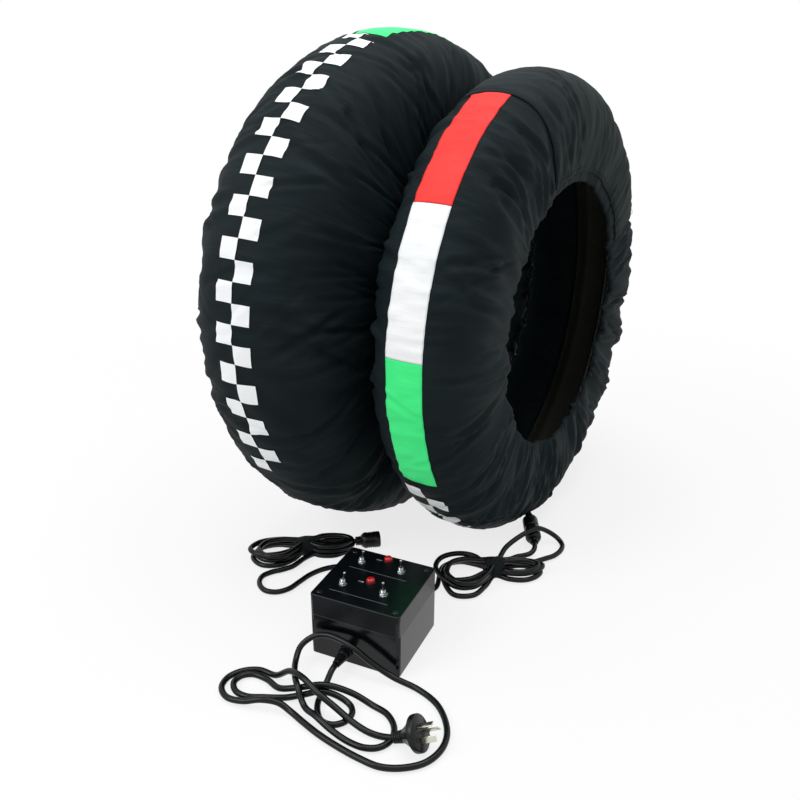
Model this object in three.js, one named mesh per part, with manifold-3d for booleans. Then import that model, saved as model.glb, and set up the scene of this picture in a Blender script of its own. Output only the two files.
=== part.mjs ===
// A pair of electric tyre warmers for a motorcycle, with their two channel control box and its three leads.
// Lengths are in millimetres and angles in degrees. +Z is up, +X runs along the front warmer's axle and
// +Y points away from the side that the coloured panels face. The origin is the middle of the flat
// underside of the control box, and everything stands or lies on the plane z = 0.
import * as THREE from 'three';
import { mergeGeometries, mergeVertices } from 'three/addons/utils/BufferGeometryUtils.js';
import Module from 'manifold-3d';

const wasm = await Module();
wasm.setup();

// Driving dimensions of the front warmer, which fits a 120/70-17 tyre
const front = {
  name: 'front',
  outerRadius: 311,
  halfWidth: 71,
  widestRadius: 232,
  hemRadius: 180,
  lowerReach: 120,
  treadHalf: 46,
  wireHalf: 30,
  flapEdge: 68.5,
  flapSteps: 10,
  panelArc: 176,
  panelMiddle: 0,
  checkColumns: 10,
  checkGap: 10,
  place: [-4, 378],
  yaw: 0,
  inletSide: 1,
};

// Driving dimensions of the rear warmer, which fits a 180/55-17 or 190/55-17 tyre
const rear = {
  name: 'rear',
  outerRadius: 335,
  halfWidth: 89,
  widestRadius: 247,
  hemRadius: 180,
  lowerReach: 150,
  treadHalf: 60,
  wireHalf: 40,
  flapEdge: 169.5,
  flapSteps: 8,
  panelArc: 176,
  panelMiddle: 10,
  checkColumns: 27,
  checkGap: 2,
  place: [-180, 325],
  yaw: -2,
  inletSide: -1,
};

// Sizes that both warmers share
const roundness = 2.3;
const sag = 3.5;
const ringSteps = 40;
const skirtNodes = 5;
const coverWall = 2;
const feltWall = 2.6;
const liningWall = 1.5;
const wireRadius = 1.2;
const layerGap = 0.3;
const seamGap = 0.3;
const gatherDepth = 4;
const gatherBack = 0.45;
const pressStart = 0.75;
const pressFade = 0.15;
const hemLip = 9;
const elasticRadius = 2.8;
const flapLift = 1.6;
const flapWall = 1.5;
const panelWidth = 48;
const panelWall = 0.6;
const panelStep = 2.6;
const panelRise = 0.4;
const panelJoin = 0.4;
const checkBridge = 0.5;
const sensorSize = [10, 16, 2.6];
const inletRadius = 11;
const inletLength = 24;
const inletBack = 35;
const inletHeading = -60;
const inletGap = 3.8;
const bootLength = 20;
const bootRadius = 4;

// Driving dimensions of the control box
const boxWidth = 111;
const boxDepth = 105;
const boxHeight = 80.5;
const boxYaw = 7.7;
const lidHeight = 27;
const boxWall = 2.5;
const boxCorner = 4;
const lipDepth = 3;
const lipWall = 1.4;
const clearance = 0.3;
const postSide = 8;
const postInset = 11;
const boardWidth = 84;
const boardDepth = 78;
const boardWall = 1.6;
const boardHeight = 12;
const bossHalf = 3;
const bossInset = 18;
const relaySize = [29, 20, 16];
const rowLift = [-20, 28];
const toggleX = [-30, 21];
const toggleRange = 13;
const bushingRadius = 3;
const bushingBore = 2.2;
const bushingTop = 6.5;
const nutAcross = 8;
const nutHeight = 2;
const toggleBody = [13, 8, 12];
const leverLength = 13;
const leverNeck = 0.9;
const leverTip = 1.6;
const leverBall = 1.8;
const pivotDrop = 3;
const lampX = -2;
const lampShift = 15;
const lampRadius = 5;
const lampFlange = 6.2;
const lampRim = 0.8;
const lampTail = 12;
const glandRadius = 8;
const glandNut = 7;
const glandLength = 24;
const glandThread = 5.5;
const glandInside = 3;
const glandMainsX = -10.7;
const glandMainsZ = 15;
const glandOutX = [-24, 24];
const glandOutZ = 15;

// Driving dimensions of the leads
const cordRadius = 3.5;
const plugRadius = 19;
const plugCollar = 7;
const plugLength = 32;
const plugHeading = 16;
const pinLength = 17;
const pinWidth = 6.3;
const pinWall = 1.6;
const pinCircle = 7.9;
const connectorRadius = 11;
const connectorLength = 34;
const hankHeight = 22;
const hankWaist = 16;
const frontHank = { place: [62, 190], heading: 41, reach: [82, 70], lobes: [[38, 52], [16, 28]] };
const rearHank = { place: [-180, 100], heading: 42, reach: [80, 68], lobes: [[24, 36], [18, 24]] };

// The leads' routes, chosen by hand: the mains lead in its loose turns, then the ends of the two tied leads
const mainsRoute = [
  [-0.3, -77.9, 15], [0.8, -86, 14.6], [2.8, -99, 8], [6, -112, 4], [11, -126, 4], [20, -138, 4],
  [31, -145, 4], [43, -143, 4], [51, -133, 4], [51, -120, 4], [43, -111, 4], [27, -110, 8],
  [9, -116, 11], [-7, -128, 8], [-23, -138, 4], [-43, -150, 4], [-60, -159, 4], [-75, -159, 4],
  [-86, -150, 4], [-86, -138, 4], [-77, -129, 4], [-59, -127, 4], [-36, -133, 7], [-16, -128, 13],
  [10, -113, 18], [37, -101, 11], [62, -98, 4], [83, -101, 4], [99, -113, 4], [105, -129, 4],
  [100, -143, 4], [88, -151, 4], [69, -153, 4], [48, -152, 7], [25, -148, 11], [5, -141, 8],
  [-14, -129, 20], [-30, -113, 14], [-43, -95, 14], [-47, -80, 22], [-38, -68, 31], [-22, -63, 36],
  [-3, -62, 36], [15, -62, 32], [36, -60, 21], [60, -55, 9], [91, -52, 4], [118, -60, 4],
  [138, -76, 4], [150, -94, 4], [154, -114, 4], [149, -135, 4], [133.5, -152.5, 4], [114, -163, 4],
  [91, -165, 4], [64, -164, 4], [38, -161, 4], [14, -156, 4], [-5, -152, 5], [-20, -153, 10],
  [-38, -160, 11], [-57, -168, 6], [-77, -171, 4], [-92, -163, 4], [-97, -148, 4], [-91, -132, 4],
  [-76, -120, 4], [-55, -117, 4], [-32, -118, 21], [-10, -124, 27], [13, -129, 22], [37, -130, 14],
  [59, -132, 8], [77, -132.5, 5], [88, -131, 4], [97, -128.8, 4.2], [105, -126.3, 5.2],
];
const frontNear = [
  [13.4, 79.8, 15], [12.5, 86, 14.7], [12, 95, 10], [12.4, 106, 5.2], [14.6, 120.5, 4.6],
];
const frontLoop = [
  [60.1, 210.1, 14], [59.8, 229, 19], [65.5, 250, 24], [74, 272, 27.2], [81, 288, 26.5], [91, 302, 17],
  [103, 307.5, 8], [113.5, 301, 4], [117.5, 286, 4], [115, 269, 4], [108.5, 254, 5.4], [101.4, 241.2, 6],
];
const frontFar = [
  [82.7, 274.9, 11], [86, 269, 11], [88.5, 261, 9], [87, 252.5, 7], [81.5, 244, 6.6],
  [76, 235, 8], [70.9, 221.6, 9.6],
];
const rearNear = [
  [-34.1, 73.4, 15], [-35, 80, 14.7], [-40, 93, 8], [-56, 104, 4], [-78, 107, 4], [-100, 102, 4],
  [-120, 91, 4], [-133, 75, 4], [-140, 56, 4], [-142, 36, 4], [-144, 17, 4], [-153, 3, 4],
  [-168, -2, 4], [-184, 6, 4], [-191, 20, 4], [-186.6, 34, 4], [-178, 45, 4.4], [-170.6, 58, 5],
  [-168.6, 69, 6], [-168.1, 80.3, 6],
];

const degrees = Math.PI / 180;
function paint(color, roughness, metalness = 0) {
  return new THREE.MeshStandardMaterial({ color, roughness, metalness });
}
const looks = {
  cloth: () => paint(0x131416, 0.85),
  lining: () => paint(0x24251f, 0.6),
  felt: () => paint(0x8f8a7c, 1),
  wire: () => paint(0xa04a2c, 0.5),
  elastic: () => paint(0x2a2a2c, 0.9),
  red: () => paint(0xe0342a, 0.7),
  white: () => paint(0xf2f2f0, 0.7),
  green: () => paint(0x22b866, 0.7),
  box: () => paint(0x0b0c0d, 0.25),
  rubber: () => paint(0x101112, 0.55),
  board: () => paint(0x1f5a38, 0.6),
  chrome: () => paint(0xd6d8da, 0.15, 1),
  lamp: () => paint(0xc2161a, 0.2),
  brass: () => paint(0xb9bdc0, 0.3, 1),
};

const model = new THREE.Group();

// A named mesh in a group, placed by the group and by its own position and rotation
function add(parent, name, geometry, material) {
  const mesh = new THREE.Mesh(geometry, material);
  mesh.name = name;
  parent.add(mesh);
  return mesh;
}

// The same shape with its shared corners merged, so that it is one closed body
function closed(geometry) {
  const bare = geometry.clone();
  bare.deleteAttribute('normal');
  bare.deleteAttribute('uv');
  return mergeVertices(bare, 1e-4);
}

// A closed three.js shape as a solid that can be cut and joined
function solid(geometry) {
  const body = closed(geometry);
  const vertProperties = new Float32Array(body.attributes.position.array);
  const triVerts = new Uint32Array(body.index.array);
  return new wasm.Manifold(new wasm.Mesh({ numProp: 3, vertProperties, triVerts }));
}

// A cut or joined solid as a three.js shape again
function shaped(body) {
  const mesh = body.getMesh();
  const geometry = new THREE.BufferGeometry();
  geometry.setAttribute('position', new THREE.BufferAttribute(new Float32Array(mesh.vertProperties), 3));
  geometry.setIndex(new THREE.BufferAttribute(new Uint32Array(mesh.triVerts), 1));
  return geometry;
}

// A turned shape about Z, from points of radius and height that start and end on the axis
function turned(points, sides = 16) {
  const outline = points.map(([radius, height]) => new THREE.Vector2(radius, height));
  return new THREE.LatheGeometry(outline, sides).rotateX(Math.PI / 2);
}

// A point beside the axle, from its angle above the horizontal on the near side, its radius and its X
function onAxle(angle, radius, across) {
  return new THREE.Vector3(across, -radius * Math.cos(angle * degrees), radius * Math.sin(angle * degrees));
}

// How far the middle of a flat facet lies inside the true round
function facetDip(radius, step) {
  return radius * (1 - Math.cos((step * degrees) / 2));
}

// The corners of a round outline
function circle(radius, sides) {
  const corners = [];
  for (let k = 0; k < sides; k += 1) {
    const turn = (k * 2 * Math.PI) / sides;
    corners.push([radius * Math.cos(turn), radius * Math.sin(turn)]);
  }
  return corners;
}

// The warmer's outer section: t is 0 at the crown of the tread, and grows down each side to the hem
function sectionPoint(warmer, t) {
  const power = 2 / roundness;
  const across = Math.sign(Math.sin(t)) * Math.abs(Math.sin(t)) ** power;
  const rise = Math.abs(Math.cos(t)) ** power;
  const reach = Math.cos(t) > 0 ? warmer.outerRadius - warmer.widestRadius : -warmer.lowerReach;
  return new THREE.Vector2(warmer.widestRadius + reach * rise, warmer.halfWidth * across);
}

// The section's point moved outwards from the cloth by a distance, or inwards where it is negative
function offsetPoint(warmer, t, distance) {
  const step = 0.01;
  const along = sectionPoint(warmer, t + step).sub(sectionPoint(warmer, t - step)).normalize();
  return sectionPoint(warmer, t).add(new THREE.Vector2(along.y, -along.x).multiplyScalar(distance));
}

// The section's parameter at a distance across the tread, and the one at the hem
function treadT(warmer, across) {
  return Math.sign(across) * Math.asin((Math.abs(across) / warmer.halfWidth) ** (roundness / 2));
}

function hemT(warmer, radius) {
  return Math.PI - Math.acos(((warmer.widestRadius - radius) / warmer.lowerReach) ** (roundness / 2));
}

// A strip of the section between two depths, as a closed outline for a lathe
function strip(warmer, nodes, outer, inner) {
  const outside = nodes.map((t) => offsetPoint(warmer, t, outer));
  const inside = nodes.map((t) => offsetPoint(warmer, t, inner)).reverse();
  return [...outside, ...inside];
}

// A closed outline turned about the axle, all round or along an arc that is capped at both ends
function around(outline, startAngle, arc, steps) {
  const whole = Math.abs(arc) >= 360;
  const loop = [...outline, outline[0]];
  const phiStart = -Math.max(startAngle, startAngle + arc) * degrees;
  const wall = new THREE.LatheGeometry(loop, steps, phiStart, Math.abs(arc) * degrees);
  const pieces = [closed(wall)];
  if (!whole) {
    const faces = THREE.ShapeUtils.triangulateShape(outline, []);
    for (const [phi, flip] of [[phiStart, false], [phiStart + Math.abs(arc) * degrees, true]]) {
      const cap = new THREE.BufferGeometry();
      const corners = outline.flatMap((p) => [p.x * Math.sin(phi), p.y, p.x * Math.cos(phi)]);
      cap.setAttribute('position', new THREE.Float32BufferAttribute(corners, 3));
      cap.setIndex(faces.flatMap(([a, b, c]) => (flip ? [a, c, b] : [a, b, c])));
      pieces.push(cap);
    }
  }
  const turnToAxle = new THREE.Matrix4().set(0, 1, 0, 0, 0, 0, -1, 0, -1, 0, 0, 0, 0, 0, 0, 1);
  return outward(closed(mergeGeometries(pieces)).applyMatrix4(turnToAxle));
}

// The same closed shape with its faces pointing out
function outward(geometry) {
  const at = geometry.attributes.position;
  const index = geometry.index.array;
  const corners = [new THREE.Vector3(), new THREE.Vector3(), new THREE.Vector3()];
  let volume = 0;
  for (let i = 0; i < index.length; i += 3) {
    corners.forEach((corner, k) => corner.fromBufferAttribute(at, index[i + k]));
    volume += corners[0].dot(corners[1].cross(corners[2]));
  }
  if (volume < 0) {
    for (let i = 0; i < index.length; i += 3) {
      [index[i], index[i + 1]] = [index[i + 1], index[i]];
    }
  }
  return geometry;
}

// The cloth's gathers on the sides, and the flat spot on which the warmer stands
function draped(geometry, warmer) {
  const at = geometry.attributes.position;
  const step = 360 / ringSteps;
  const shoulder = sectionPoint(warmer, treadT(warmer, warmer.treadHalf)).x;
  const low = warmer.hemRadius + hemLip;
  const high = shoulder - hemLip;
  const floor = warmer.outerRadius - sag;
  for (let i = 0; i < at.count; i += 1) {
    const [x, y, z] = [at.getX(i), at.getY(i), at.getZ(i)];
    const radius = Math.hypot(y, z);
    const angle = Math.atan2(z, -y) / degrees;
    const node = Math.round((angle - warmer.flapEdge) / step);
    const height = (radius - low) / (high - low);
    if (height > 0 && height < 1) {
      const pleat = node % 2 === 0 ? 1 : -gatherBack;
      at.setX(i, x + Math.sign(x) * pleat * gatherDepth * Math.sin(Math.PI * height ** 0.7));
    }
    const depth = -warmer.outerRadius * Math.sin(angle * degrees) - floor;
    const share = THREE.MathUtils.clamp((radius / warmer.outerRadius - pressStart) / pressFade, 0, 1);
    if (z < 0 && depth > 0) {
      at.setZ(i, z + depth * share);
    }
  }
  return geometry;
}

// One warmer: sewn cover, hems, felt, heating wire, lining, coloured panels, checked band and inlet
function makeWarmer(warmer) {
  const group = new THREE.Group();
  group.position.set(warmer.place[0], warmer.place[1], warmer.outerRadius - sag);
  group.rotation.z = warmer.yaw * degrees;
  model.add(group);
  const label = (piece) => `${warmer.name}_${piece}`;
  const shoulderT = treadT(warmer, warmer.treadHalf);
  const wireT = treadT(warmer, warmer.wireHalf);
  const treadNodes = [-shoulderT, -wireT, 0, wireT, shoulderT];
  const ring = (outline) => draped(around(outline, warmer.flapEdge, 360, ringSteps), warmer);

  // The cover's tread is a band over the tyre's tread
  add(group, label('tread_cover'), ring(strip(warmer, treadNodes, 0, -coverWall)), looks.cloth());

  // Each skirt is gathered from the shoulder seam to the hem, which turns in over its elastic
  const lastT = hemT(warmer, warmer.hemRadius);
  const seamT = seamGap / sectionPoint(warmer, shoulderT).distanceTo(sectionPoint(warmer, shoulderT + 1));
  const skirtT = (k) => shoulderT + seamT + ((lastT - shoulderT - seamT) * k) / (skirtNodes - 1);
  for (const side of [-1, 1]) {
    const nodes = [];
    for (let k = 0; k < skirtNodes; k += 1) {
      nodes.push(skirtT(k));
    }
    const outer = nodes.map((t) => offsetPoint(warmer, t, 0));
    const inner = nodes.map((t) => offsetPoint(warmer, t, -coverWall));
    const [edge, back] = [outer[skirtNodes - 1], inner[skirtNodes - 1]];
    const lip = [
      new THREE.Vector2(edge.x - coverWall, edge.y - coverWall / 2),
      new THREE.Vector2(edge.x - coverWall, edge.y - hemLip),
      new THREE.Vector2(edge.x, edge.y - hemLip),
    ];
    const outline = [...outer, ...lip, ...inner.reverse()].map((p) => new THREE.Vector2(p.x, side * p.y));
    const skirt = ring(outline);
    const name = side < 0 ? 'skirt_left' : 'skirt_right';
    add(group, label(name), skirt, looks.cloth());
    const elasticSteps = ringSteps / 2;
    const chordDip = facetDip(warmer.hemRadius, 360 / elasticSteps);
    const high = edge.x + elasticRadius + clearance + chordDip;
    const wide = back.y - elasticRadius - clearance;
    const loop = circle(elasticRadius, 5).map(([a, b]) => new THREE.Vector2(high + a, side * (wide + b)));
    const elastic = around(loop, warmer.flapEdge, 360, elasticSteps);
    add(group, label(side < 0 ? 'elastic_left' : 'elastic_right'), elastic, looks.elastic());
  }

  // The closing flap laps over the cover from hem to hem
  const flapNodes = [...treadNodes];
  for (let k = 1; k < skirtNodes - 1; k += 1) {
    const t = skirtT(k);
    flapNodes.push(t);
    flapNodes.unshift(-t);
  }
  const flapOutline = strip(warmer, flapNodes, flapLift + flapWall, flapLift);
  const flapArc = (warmer.flapSteps * 360) / ringSteps;
  const flap = draped(around(flapOutline, warmer.flapEdge, flapArc, warmer.flapSteps), warmer);
  add(group, label('closure_flap'), flap, looks.cloth());

  // Inside the tread lie the felt, the heating wire in its zigzag, and the lining that touches the tyre
  const feltTop = coverWall + layerGap;
  const wireTop = feltTop + feltWall + layerGap;
  const liningTop = wireTop + 2 * wireRadius + layerGap;
  const feltNodes = [-wireT, 0, wireT];
  const feltOutline = strip(warmer, feltNodes, -feltTop, -feltTop - feltWall);
  add(group, label('insulation'), ring(feltOutline), looks.felt());
  const liningOutline = strip(warmer, treadNodes, -liningTop, -liningTop - liningWall);
  add(group, label('inner_lining'), ring(liningOutline), looks.lining());
  const wirePath = [];
  for (let k = 0; k < ringSteps; k += 1) {
    const t = [-wireT, 0, wireT, 0][k % 4];
    const point = offsetPoint(warmer, t, -wireTop - wireRadius);
    wirePath.push(onAxle(warmer.flapEdge + (k * 360) / ringSteps, point.x, point.y));
  }
  const wire = draped(tube(new Polyline(wirePath), wireRadius, 5, ringSteps - 1), warmer);
  add(group, label('heating_wire'), wire, looks.wire());

  // The heat sensor is held against the lining, just ahead of the flap's edge
  const sensorAngle = warmer.flapEdge - 180 / ringSteps;
  const liningInside = offsetPoint(warmer, 0, -liningTop - liningWall).x * Math.cos(Math.PI / ringSteps);
  const crownDrop = sectionPoint(warmer, 0).x - sectionPoint(warmer, wireT).x;
  const cornerDrop = (crownDrop * sensorSize[0]) / 2 / warmer.wireHalf;
  const sensorDistance = liningInside - cornerDrop - layerGap - sensorSize[2] / 2;
  const sensor = add(group, label('heat_sensor'), new THREE.BoxGeometry(...sensorSize), looks.rubber());
  sensor.rotation.x = (90 - sensorAngle) * degrees;
  sensor.position.copy(onAxle(sensorAngle, sensorDistance, 0));

  // Red, white and green panels lie end to end on the tread, and the checked band follows them
  const arcAngle = warmer.panelArc / warmer.outerRadius / degrees;
  const joinAngle = panelJoin / warmer.outerRadius / degrees;
  const panelLift = layerGap + panelRise + facetDip(warmer.outerRadius, panelStep);
  const panelNodes = [-1, 0, 1].map((k) => treadT(warmer, warmer.panelMiddle + (k * panelWidth) / 2));
  const panelOutline = strip(warmer, panelNodes, panelLift + panelWall, panelLift);
  let top = warmer.flapEdge - 2 * joinAngle;
  for (const colour of ['red', 'white', 'green']) {
    const steps = Math.round(arcAngle / panelStep);
    const panel = around(panelOutline, top, -(arcAngle - joinAngle), steps);
    add(group, label(`stripe_${colour}`), panel, looks[colour]());
    top -= arcAngle;
  }
  const cell = panelWidth / 2;
  const cellAngle = cell / warmer.outerRadius / degrees;
  const bridgeAngle = checkBridge / warmer.outerRadius / degrees;
  top -= warmer.checkGap / warmer.outerRadius / degrees;
  let band = null;
  for (let column = 0; column < warmer.checkColumns; column += 1) {
    const row = column % 2;
    const low = warmer.panelMiddle - cell + row * cell - checkBridge;
    const ends = [treadT(warmer, low), treadT(warmer, low + cell + 2 * checkBridge)];
    const outline = strip(warmer, ends, panelLift + panelWall, panelLift);
    const start = top - column * cellAngle + bridgeAngle;
    const square = solid(around(outline, start, -(cellAngle + 2 * bridgeAngle), 1));
    band = band ? band.add(square) : square;
  }
  add(group, label('check_band'), shaped(band), looks.white());
  return group;
}

// A path of straight runs from point to point, one run to each step of a tube
class Polyline extends THREE.Curve {
  constructor(points) {
    super();
    this.points = points;
  }

  getPoint(t, target = new THREE.Vector3()) {
    const run = Math.min(t, 1) * (this.points.length - 1);
    const k = Math.min(Math.floor(run), this.points.length - 2);
    return target.lerpVectors(this.points[k], this.points[k + 1], run - k);
  }

  getPointAt(t, target) {
    return this.getPoint(t, target);
  }

  getTangentAt(t, target) {
    return this.getTangent(t, target);
  }
}

// A round tube along a path
function tube(path, radius, sides, steps) {
  const round = new THREE.Shape(circle(radius, sides).map(([x, y]) => new THREE.Vector2(x, y)));
  return outward(closed(new THREE.ExtrudeGeometry(round, { steps, extrudePath: path, curveSegments: 1 })));
}

// A block with rounded upright edges, standing on z = 0
function roundedBlock(width, depth, height, corner) {
  const [x, y] = [width / 2 - corner, depth / 2 - corner];
  const outline = new THREE.Shape();
  outline.absarc(x, y, corner, 0, Math.PI / 2, false);
  outline.absarc(-x, y, corner, Math.PI / 2, Math.PI, false);
  outline.absarc(-x, -y, corner, Math.PI, 1.5 * Math.PI, false);
  outline.absarc(x, -y, corner, 1.5 * Math.PI, 2 * Math.PI, false);
  return new THREE.ExtrudeGeometry(outline, { depth: height, bevelEnabled: false, curveSegments: 4 });
}

// A block between two corners
function block(low, high) {
  const size = high.map((value, k) => value - low[k]);
  const middle = high.map((value, k) => (value + low[k]) / 2);
  return new THREE.BoxGeometry(...size).translate(...middle);
}

// The box's places for its switches, lamps, glands and posts, in the box's own frame
const boxGroup = new THREE.Group();
boxGroup.rotation.z = boxYaw * degrees;
model.add(boxGroup);
const baseHeight = boxHeight - lidHeight;
const switches = rowLift.flatMap((y, row) => toggleX.map((x, column) => ({ x, y, row, column })));
const lamps = rowLift.map((y) => ({ x: lampX, y: y + lampShift }));
const faceY = boxDepth / 2;
const glands = [
  { name: 'gland_mains', x: glandMainsX, z: glandMainsZ, out: -1 },
  { name: 'gland_rear', x: glandOutX[0], z: glandOutZ, out: 1 },
  { name: 'gland_front', x: glandOutX[1], z: glandOutZ, out: 1 },
];
const roomWidth = boxWidth - 2 * boxWall;
const roomDepth = boxDepth - 2 * boxWall;
const postX = boxWidth / 2 - postInset;
const postY = boxDepth / 2 - postInset;

// The base is a tray with four screw posts and a lip that locates the lid
function makeBase() {
  const inside = roundedBlock(roomWidth, roomDepth, boxHeight, boxCorner - boxWall);
  let base = solid(roundedBlock(boxWidth, boxDepth, baseHeight, boxCorner));
  const lipOut = boxWall - lipWall;
  const [lipWidth, lipLength] = [boxWidth - 2 * lipOut, boxDepth - 2 * lipOut];
  const lipBlock = roundedBlock(lipWidth, lipLength, baseHeight + lipDepth, boxCorner - lipOut);
  base = base.add(solid(lipBlock)).subtract(solid(inside.translate(0, 0, boxWall)));
  for (const sx of [-1, 1]) {
    for (const sy of [-1, 1]) {
      const low = [sx * postX - postSide / 2, sy * postY - postSide / 2, boxWall / 2];
      const high = [sx * postX + postSide / 2, sy * postY + postSide / 2, baseHeight - clearance];
      const [x, y] = [sx * (boardWidth / 2 - bossInset), sy * (boardDepth / 2 - postSide)];
      const bossTop = boardHeight - clearance;
      const boss = block([x - bossHalf, y - bossHalf, boxWall / 2], [x + bossHalf, y + bossHalf, bossTop]);
      base = base.add(solid(block(low, high))).add(solid(boss));
    }
  }
  for (const gland of glands) {
    const bore = glandThread + clearance;
    const hole = turned([[0, -boxWall], [bore, -boxWall], [bore, boxWall], [0, boxWall]]);
    hole.rotateX(-Math.PI / 2).translate(gland.x, gland.out * (faceY - boxWall / 2), gland.z);
    base = base.subtract(solid(hole));
  }
  add(boxGroup, 'box_base', shaped(base), looks.box());
}

// The lid is a shell with holes for the four switches and the two lamps
function makeLid() {
  let lid = solid(roundedBlock(boxWidth, boxDepth, lidHeight, boxCorner));
  const hollow = roundedBlock(roomWidth, roomDepth, lidHeight - boxWall, boxCorner - boxWall);
  const rim = boxWall - lipWall - clearance;
  const rimDepth = lipDepth + clearance;
  const rebate = roundedBlock(boxWidth - 2 * rim, boxDepth - 2 * rim, rimDepth, boxCorner - rim);
  lid = lid.subtract(solid(hollow)).subtract(solid(rebate));
  const drill = (x, y, radius) => {
    const low = lidHeight - 2 * boxWall;
    const bit = turned([[0, low], [radius, low], [radius, lidHeight + 1], [0, lidHeight + 1]]);
    lid = lid.subtract(solid(bit.translate(x, y, 0)));
  };
  switches.forEach(({ x, y }) => drill(x, y, bushingRadius + clearance));
  lamps.forEach(({ x, y }) => drill(x, y, lampRadius + clearance));
  const mesh = add(boxGroup, 'box_lid', shaped(lid), looks.box());
  mesh.position.z = baseHeight + clearance;
}

// The board on its four bosses, with the relay that switches the heaters
function makeBoard() {
  const board = new THREE.BoxGeometry(boardWidth, boardDepth, boardWall);
  let plate = solid(board);
  for (const sx of [-1, 1]) {
    for (const sy of [-1, 1]) {
      const corner = block([-postSide, -postSide, -2], [postSide, postSide, 2]);
      plate = plate.subtract(solid(corner.translate(sx * postX, sy * postY, 0)));
    }
  }
  const mesh = add(boxGroup, 'circuit_board', shaped(plate), looks.board());
  mesh.position.z = boardHeight + boardWall / 2;
  const relay = add(boxGroup, 'power_relay', new THREE.BoxGeometry(...relaySize), looks.rubber());
  relay.position.z = boardHeight + boardWall + layerGap + relaySize[2] / 2;
}

// Each switch is a body under the lid with a bushing and nut through it, and a bat lever on its pivot
function makeSwitches() {
  const panelTop = boxHeight + clearance;
  for (const { x, y, row, column } of switches) {
    const under = panelTop - boxWall - layerGap;
    const [bodyX, bodyY] = [toggleBody[0] / 2, toggleBody[1] / 2];
    const body = block([-bodyX, -bodyY, under - toggleBody[2]], [bodyX, bodyY, under]);
    const top = panelTop + bushingTop;
    const stem = turned([[0, under - 1], [bushingRadius, under - 1], [bushingRadius, top], [0, top]], 16);
    const nutLow = panelTop + layerGap;
    const nutTop = nutLow + nutHeight;
    const nutReach = nutAcross / Math.sqrt(3);
    const nut = turned([[0, nutLow], [nutReach, nutLow], [nutReach, nutTop], [0, nutTop]], 6);
    const pivot = top - pivotDrop;
    const floor = pivot - leverBall - layerGap;
    const bore = turned([[0, floor], [bushingBore, floor], [bushingBore, top + 1], [0, top + 1]], 16);
    const holder = solid(body).add(solid(stem)).add(solid(nut)).subtract(solid(bore));
    const label = `switch_${row === 0 ? 'near' : 'far'}_${column === 0 ? 'left' : 'right'}`;
    const holderMesh = add(boxGroup, `${label}_bushing`, shaped(holder), looks.chrome());
    holderMesh.position.set(x, y, 0);
    const points = [[0, -leverBall], [0.7 * leverBall, -0.7 * leverBall], [leverBall, 0]];
    points.push([leverNeck, 0.85 * leverBall], [leverTip, leverLength - leverTip]);
    points.push([0.6 * leverTip, leverLength - 0.3 * leverTip], [0, leverLength]);
    const lever = add(boxGroup, `${label}_lever`, turned(points, 10), looks.chrome());
    lever.position.set(x, y, pivot);
    lever.rotation.y = column === 0 ? toggleRange * degrees : 0;
  }
}

// The lamps stand in the lid on a flange, with a tail below it
function makeLamps() {
  const panelTop = boxHeight + clearance;
  lamps.forEach(({ x, y }, row) => {
    const rim = layerGap + lampRim;
    const points = [[0, -lampTail], [lampRadius, -lampTail], [lampRadius, layerGap]];
    points.push([lampFlange, layerGap], [lampFlange, rim]);
    for (let k = 0; k <= 3; k += 1) {
      const turn = (k * Math.PI) / 6;
      points.push([k === 3 ? 0 : lampRadius * Math.cos(turn), rim + lampRadius * Math.sin(turn)]);
    }
    const lamp = add(boxGroup, `lamp_${row === 0 ? 'near' : 'far'}`, turned(points, 12), looks.lamp());
    lamp.position.set(x, y, panelTop);
  });
}

// Each gland clamps in the wall with a flange outside, and tapers along its lead
function makeGlands() {
  for (const gland of glands) {
    const points = [[0, -boxWall - glandInside], [glandThread, -boxWall - glandInside]];
    points.push([glandThread, layerGap], [glandRadius, layerGap], [glandRadius, 3]);
    points.push([glandNut, 4], [glandNut, 10], [cordRadius + 1.4, glandLength], [0, glandLength]);
    const shape = turned(points, 12).rotateX(gland.out < 0 ? Math.PI / 2 : -Math.PI / 2);
    const mesh = add(boxGroup, gland.name, shape, looks.rubber());
    mesh.position.set(gland.x, gland.out * faceY, gland.z);
  }
}

// A lead's stretch along its route, with a step every two or three diameters
function makeLead(name, route) {
  const points = route.map((point) => new THREE.Vector3(...point));
  const path = new THREE.CatmullRomCurve3(points, false, 'centripetal');
  const steps = Math.min(Math.ceil(path.getLength() / (5.2 * cordRadius)), 78);
  add(model, name, tube(path, cordRadius, 8, steps), looks.rubber());
}

// A tied hank: two lobes of turns with the tie at the waist between them, lying on the floor
function makeHank(name, hank) {
  const [leftReach, rightReach] = hank.reach;
  const [[leftFar, leftNear], [rightFar, rightNear]] = hank.lobes;
  const outline = new THREE.Shape();
  outline.moveTo(0, -hankWaist);
  const lobe = (reach, first, second) => [
    [reach * 0.45, first * 0.9], [reach * 0.8, first * 0.95], [reach, (first + second) / 2],
    [reach * 0.8, second * 0.95], [reach * 0.45, second * 0.9],
  ];
  const rightTurns = lobe(rightReach, -rightNear, rightFar);
  const turns = [...rightTurns, [0, hankWaist], ...lobe(-leftReach, leftFar, -leftNear), [0, -hankWaist]];
  outline.splineThru(turns.map(([x, y]) => new THREE.Vector2(x, y)));
  const options = { depth: hankHeight, bevelEnabled: false, curveSegments: 3 };
  const shape = new THREE.ExtrudeGeometry(outline, options);
  const mesh = add(model, name, outward(closed(shape)), looks.rubber());
  mesh.position.set(hank.place[0], hank.place[1], 0);
  mesh.rotation.z = hank.heading * degrees;
}

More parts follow.
